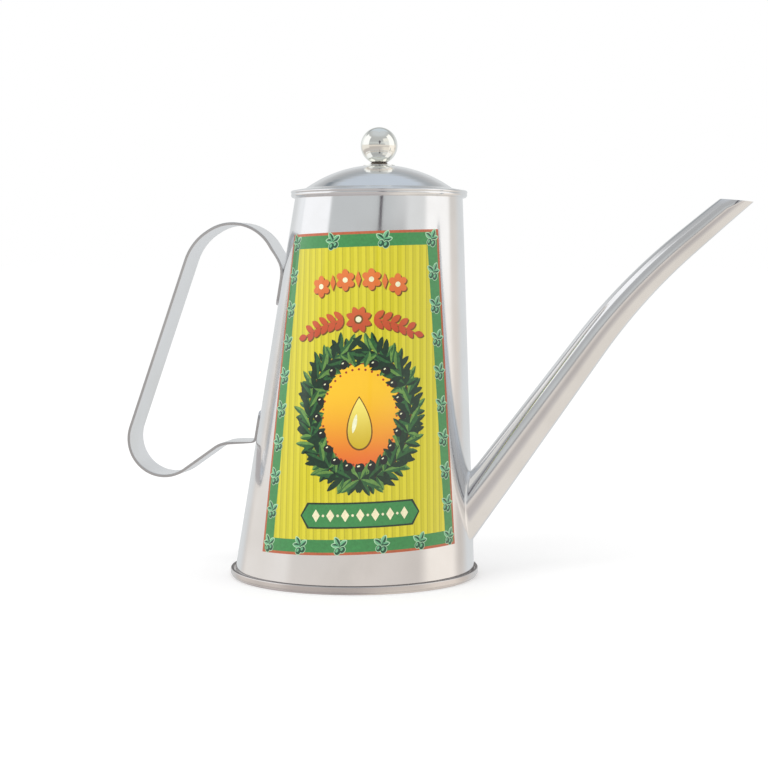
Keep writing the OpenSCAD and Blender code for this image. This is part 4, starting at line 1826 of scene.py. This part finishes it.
@dataclass
class Knob(SubAssembly):
    """The ball knob on its flared collar, with the washer and screw that hold it from below."""

    body: str = "lid"
    lid: Lid = field(default_factory=Lid)
    ball_d: float = 15.8
    ball_flat_d: float = 6.0
    collar_d: float = 13.5
    collar_top_d: float = 6.6
    collar_h: float = 0.9
    flare_r: float = 5.0
    washer_d: float = 10.0
    washer_t: float = 0.8
    screw_d: float = 3.2
    head_d: float = 7.2
    head_h: float = 2.2
    slot_w: float = 1.0
    slot_h: float = 1.0

    @property
    def collar_top(self) -> float:
        """Height of the collar's top."""
        return self.lid.dome_top + self.collar_h

    @property
    def washer_low(self) -> float:
        """Height of the washer's underside."""
        return self.lid.dome_z(self.washer_d / 2, self.lid.sheet) - self.washer_t

    def ball(self) -> list[Vector]:
        """The ball's section, from its top round to the flat and up the tapped hole.

        Returns:
            The points as (radius, height).
        """
        reach, flat = self.ball_d / 2, self.ball_flat_d / 2
        rise = math.sqrt(reach * reach - flat * flat)
        end = -math.degrees(math.acos(flat / reach))
        skin = arc((0, self.collar_top + rise), reach, 90, end, 44)
        hole_r, hole_top = self.screw_d / 2 + 0.05, self.collar_top + 7.5
        return [*skin, Vector((hole_r, self.collar_top)), Vector((hole_r, hole_top)), Vector((0, hole_top))]

    def collar(self) -> list[Vector]:
        """The collar's section: a hollow flare from the dome up to the ball's flat.

        Returns:
            The points as (radius, height).
        """
        top = Vector((self.collar_top_d / 2, self.collar_top))
        edge_r = self.collar_d / 2
        edge = Vector((edge_r, self.lid.dome_z(edge_r) + 0.3))
        chord = edge - top
        rise = math.sqrt(self.flare_r**2 - chord.length_squared / 4)
        hollow = (top + edge) / 2 + Vector((-chord.y, chord.x)).normalized() * rise
        start = math.degrees(math.atan2(top.y - hollow.y, top.x - hollow.x))
        end = math.degrees(math.atan2(edge.y - hollow.y, edge.x - hollow.x))
        flare = arc(tuple(hollow), self.flare_r, start, end, 14)
        seat = [Vector((edge_r - 0.02, self.lid.dome_z(edge_r) - 0.05))]
        seat += [Vector((r, self.lid.dome_z(r) + 0.01)) for r in (5.0, 3.5, self.lid.hole_r)]
        return [Vector((self.lid.hole_r, self.collar_top)), *flare, Vector((edge_r + 0.06, edge.y - 0.14)), *seat]

    def washer(self) -> list[Vector]:
        """The washer's section."""
        low, high = self.washer_low, self.washer_low + self.washer_t
        inner, outer = self.lid.hole_r, self.washer_d / 2
        corners = [(inner, high - 0.1, 0), (inner, low, 0.2), (outer, low, 0.3), (outer, high, 0.2)]
        return rounded([*corners, (inner, high, 0.1), (inner, high - 0.05, 0)], 20.0)

    def screw(self) -> bmesh.types.BMesh:
        """The pan-head screw with its cross slot.

        Returns:
            Its mesh.
        """
        low, seat = self.washer_low - self.head_h, self.washer_low
        reach, shank = self.head_d / 2, self.screw_d / 2
        slope = [
            (shank, self.collar_top + 6.0, 0),
            (shank, seat, 0),
            (reach, seat, 0.25),
            (reach, low + 0.5, 0.4),
            (reach - 0.9, low, 0.8),
            (reach - 1.2, low, 0),
        ]
        bm = spun(rounded([(0, self.collar_top + 6.0, 0), *slope], 18.0), 48, closed=False)
        bmesh.ops.remove_doubles(bm, verts=bm.verts, dist=1e-4)
        arm, half = reach - 1.7, self.slot_w / 2
        outline = [(arm, -half), (arm, half), (half, half), (half, arm), (-half, arm), (-half, half)]
        outline += [(-x, -y) for x, y in outline]
        verts = [bm.verts.new((x, y, low)) for x, y in outline]
        cross = [bm.edges.new((a, b)) for a, b in zip(verts, [*verts[1:], verts[0]])]
        rim = [e for e in bm.edges if e.is_boundary and e.link_faces]
        bmesh.ops.triangle_fill(bm, use_beauty=True, edges=[*rim, *cross])
        made = bmesh.ops.extrude_edge_only(bm, edges=cross)["geom"]
        raised = [part for part in made if isinstance(part, bmesh.types.BMVert)]
        bmesh.ops.translate(bm, vec=(0, 0, self.slot_h), verts=raised)
        roof = [p for p in made if isinstance(p, bmesh.types.BMEdge) and set(p.verts) <= set(raised)]
        bmesh.ops.contextual_create(bm, geom=roof)
        return bm

    def build(self) -> None:
        """Builds collar, ball, washer and screw."""
        place = self.lid.place
        chrome = ("bright_knob", [MIRROR])
        self.piece("knob_flare", place(spun(self.collar(), 96)), chrome[1], chrome[0], ["knob_collar"])
        ball = place(spun(self.ball(), 96, closed=False))
        # Painted shade: the ball's underside and tapped hole, where it sits on the collar, get the dark steel.
        for face in ball.faces:
            face.material_index = int(face.calc_center_median().z < self.collar_top + 0.45)
        self.piece("ball", ball, [MIRROR, GROOVE_SHADE], chrome[0], ["knob_ball"], crease_deg=50)
        self.piece("washer", place(spun(self.washer(), 64)), [SCREW], "screw_steel", ["knob_washer"])
        self.piece("screw", place(self.screw()), [SCREW], "screw_steel", ["knob_screw"])


@dataclass(frozen=True)
class Panel:
    """A soft-edged part of the room that the metal reflects, in degrees of turn and height."""

    name: str
    middle: float
    half: float
    turn_soft: float
    low: float
    high: float
    height_soft: float
    colour: Colour

    def lay(self, graph: Graph, turn: Socket, height: Socket, room: Socket) -> Socket:
        """Lays the panel over the room.

        Args:
            graph: The world's tree.
            turn: The turn round the can.
            height: The height over the horizon.
            room: The room so far.

        Returns:
            The room's colour with the panel.
        """
        away = graph.math("ABSOLUTE", graph.math("WRAP", graph.math("SUBTRACT", turn, self.middle), 180.0, -180.0))
        wide = graph.rise(away, self.half + self.turn_soft / 2, self.half - self.turn_soft / 2)
        tall = graph.band(height, self.low, self.high, self.height_soft)
        return graph.mix(graph.math("MULTIPLY", wide, tall), room, self.colour)


@dataclass
class Studio:
    """The camera of the photograph, the pale floor and the plain light."""

    azimuth_deg: float = 11.5
    pitch_deg: float = 3.896
    eye: tuple[float, float, float] = (12.914, -776.84, 135.83)
    lens: float = 83.86
    sensor: float = 36.0
    plain_level: float = 0.86
    levels: tuple[tuple[float, Colour], ...] = (
        (-35.0, (0.54, 0.51, 0.51)),
        (-10.0, (0.53, 0.49, 0.47)),
        (-1.0, (0.75, 0.69, 0.64)),
        (3.0, (0.74, 0.70, 0.66)),
        (9.0, (0.59, 0.61, 0.61)),
        (15.0, (0.57, 0.59, 0.60)),
        (24.0, (0.46, 0.47, 0.48)),
        (48.0, (0.48, 0.49, 0.50)),
        (66.0, (0.58, 0.61, 0.65)),
    )
    room: tuple[Panel, ...] = (
        Panel("table", 95, 62, 40, -91, -9, 10, (0.80, 0.75, 0.69)),
        Panel("back_wall", -172, 44, 20, -30, 26, 20, (0.72, 0.74, 0.75)),
        Panel("right_fill", 66, 26, 36, 2, 22, 10, (0.78, 0.79, 0.79)),
        Panel("high_lamp", 60, 20, 10, 21, 40, 5, (0.84, 0.83, 0.80)),
        Panel("left_glow", -102, 28, 26, 4, 34, 8, (0.90, 0.92, 0.94)),
        Panel("left_foot", -88, 34, 12, -12, 5, 8, (0.83, 0.79, 0.75)),
        Panel("rail", -172, 44, 20, 37, 44, 6, (0.41, 0.44, 0.46)),
        Panel("back_sky", -172, 42, 20, 46, 91, 8, (0.58, 0.64, 0.71)),
        Panel("left_softbox", -82, 26, 4, 5, 46, 7, (1.04, 1.05, 1.07)),
        Panel("right_softbox", 101, 22, 9, 0, 50, 8, (1.08, 1.07, 1.06)),
        Panel("right_foot", 103, 22, 16, -20, 1, 8, (1.00, 0.93, 0.86)),
        Panel("shelf", -3, 52, 12, 4, 8.5, 1.5, (0.35, 0.35, 0.36)),
        Panel("stand", 15.4, 2.0, 1.0, 4, 30, 2, (0.10, 0.09, 0.10)),
        Panel("head", 15.4, 6.0, 2.0, 13.6, 26, 1.0, (0.12, 0.11, 0.13)),
        Panel("flag", -143, 6, 5, 36, 42, 4, (0.22, 0.25, 0.28)),
    )

    def camera(self) -> None:
        """Sets up the camera."""
        data = bpy.data.cameras.new("photo_camera")
        data.lens = self.lens
        data.sensor_width = self.sensor
        data.clip_start = 0.01
        data.clip_end = 50.0
        camera = bpy.data.objects.new("photo_camera", data)
        turn = Matrix.Rotation(math.radians(self.azimuth_deg), 3, "Z")
        camera.location = turn @ Vector(self.eye) * MM
        camera.rotation_euler = (math.radians(90 - self.pitch_deg), 0, math.radians(self.azimuth_deg))
        bpy.context.scene.collection.objects.link(camera)
        bpy.context.scene.camera = camera

    def floor(self) -> None:
        """Lays the pale floor, which keeps the object's shadow and stays out of the metal's reflections."""
        bm = bmesh.new()
        bmesh.ops.create_grid(bm, x_segments=2, y_segments=2, size=40.0)
        mesh = bpy.data.meshes.new("floor")
        bm.to_mesh(mesh)
        bm.free()
        floor = bpy.data.objects.new("floor", mesh)
        floor.location.z = -0.00005
        bpy.context.scene.collection.objects.link(floor)
        floor.visible_glossy = False
        material = bpy.data.materials.new("floor_white")
        material.use_nodes = True
        graph = Graph(material.node_tree)
        matt = graph.node("ShaderNodeBsdfDiffuse")
        graph.feed(matt.inputs["Color"], (0.9, 0.9, 0.9))
        glow = graph.node("ShaderNodeEmission")
        graph.feed(glow.inputs["Color"], (1.0, 1.0, 1.0))
        glow.inputs["Strength"].default_value = 0.24
        both = graph.node("ShaderNodeAddShader")
        graph.feed(both.inputs[0], matt.outputs[0])
        graph.feed(both.inputs[1], glow.outputs[0])
        output = graph.node("ShaderNodeOutputMaterial")
        graph.feed(output.inputs["Surface"], both.outputs[0])
        mesh.materials.append(material)
        floor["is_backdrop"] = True

    def lamp(self, name: str, spot: tuple[float, float, float], size: float, power: float) -> None:
        """Hangs a soft lamp that looks at the can and leaves the metal's reflections alone.

        Args:
            name: Its name.
            spot: Its place, in metres.
            size: Its side, in metres.
            power: Its power in watts.
        """
        data = bpy.data.lights.new(name, "AREA")
        data.shape = "SQUARE"
        data.size = size
        data.energy = power
        lamp = bpy.data.objects.new(name, data)
        lamp.location = spot
        lamp.rotation_mode = "QUATERNION"
        lamp.rotation_quaternion = (Vector(spot) - Vector((0, 0, 0.09))).to_track_quat("Z", "Y")
        lamp.visible_glossy = False
        lamp.visible_camera = False
        bpy.context.scene.collection.objects.link(lamp)

    def world(self) -> None:
        """Lights the scene: white behind, a plain level on matt surfaces, and soft panels for the metal."""
        world = bpy.data.worlds.new("studio")
        world.use_nodes = True
        bpy.context.scene.world = world
        graph = Graph(world.node_tree)
        light = graph.node("ShaderNodeLightPath")
        panels = self.panels(graph)
        plain = graph.mix(light.outputs["Is Glossy Ray"], (self.plain_level,) * 3, panels)
        seen = graph.mix(light.outputs["Is Camera Ray"], plain, (1.0, 1.0, 1.0))
        background = graph.node("ShaderNodeBackground")
        graph.feed(background.inputs["Color"], seen)
        output = graph.node("ShaderNodeOutputWorld")
        graph.feed(output.inputs["Surface"], background.outputs[0])

    def panels(self, graph: Graph) -> Socket:
        """What the metal sees: a grey room with soft white panels, and a pale table below.

        Args:
            graph: The world's tree.

        Returns:
            The colour's socket.
        """
        parts = graph.node("ShaderNodeSeparateXYZ")
        graph.feed(parts.inputs[0], graph.node("ShaderNodeTexCoord").outputs["Generated"])
        east, north, up = parts.outputs[:3]
        turn = graph.math("ARCTAN2", east, graph.math("MULTIPLY", north, -1.0))
        turn = graph.math("MULTIPLY", turn, math.degrees(1.0))
        height = graph.math("MULTIPLY", graph.math("ARCSINE", up), math.degrees(1.0))
        share = graph.math("ADD", graph.math("DIVIDE", height, 180.0), 0.5)
        room = graph.ramp(share, [((degrees + 90) / 180, colour) for degrees, colour in self.levels])
        for panel in self.room:
            room = panel.lay(graph, turn, height, room)
        return room

    def build(self) -> None:
        """Sets up camera, floor and light."""
        scene = bpy.context.scene
        scene.view_settings.view_transform = "Standard"
        self.camera()
        self.floor()
        self.world()
        self.lamp("key_lamp", (-0.9, -1.3, 1.3), 1.2, 9.0)
        LOG.info("studio: camera, floor, world and lamp")


def corners(low: Vector, high: Vector) -> dict[str, list[float]]:
    """A box as plain lists."""
    return {"low": list(low), "high": list(high)}


def main() -> None:
    """Builds the scene in order and reports each piece."""
    logging.basicConfig(level=logging.INFO, format="%(name)s: %(message)s")
    frame_box = corners(*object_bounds())
    Studio().build()
    wall = WallCone()
    spout = Spout(wall=wall)
    Body(wall=wall).build(spout)
    Base(wall=wall).build()
    spout.build()
    Handle(wall=wall).build()
    Label(wall=wall).build()
    lid = Lid(mouth_x=wall.mouth_x)
    lid.build()
    Knob(lid=lid).build()
    {"frame": frame_box, "looks": corners(*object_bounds())}


if __name__ == "__main__":
    main()
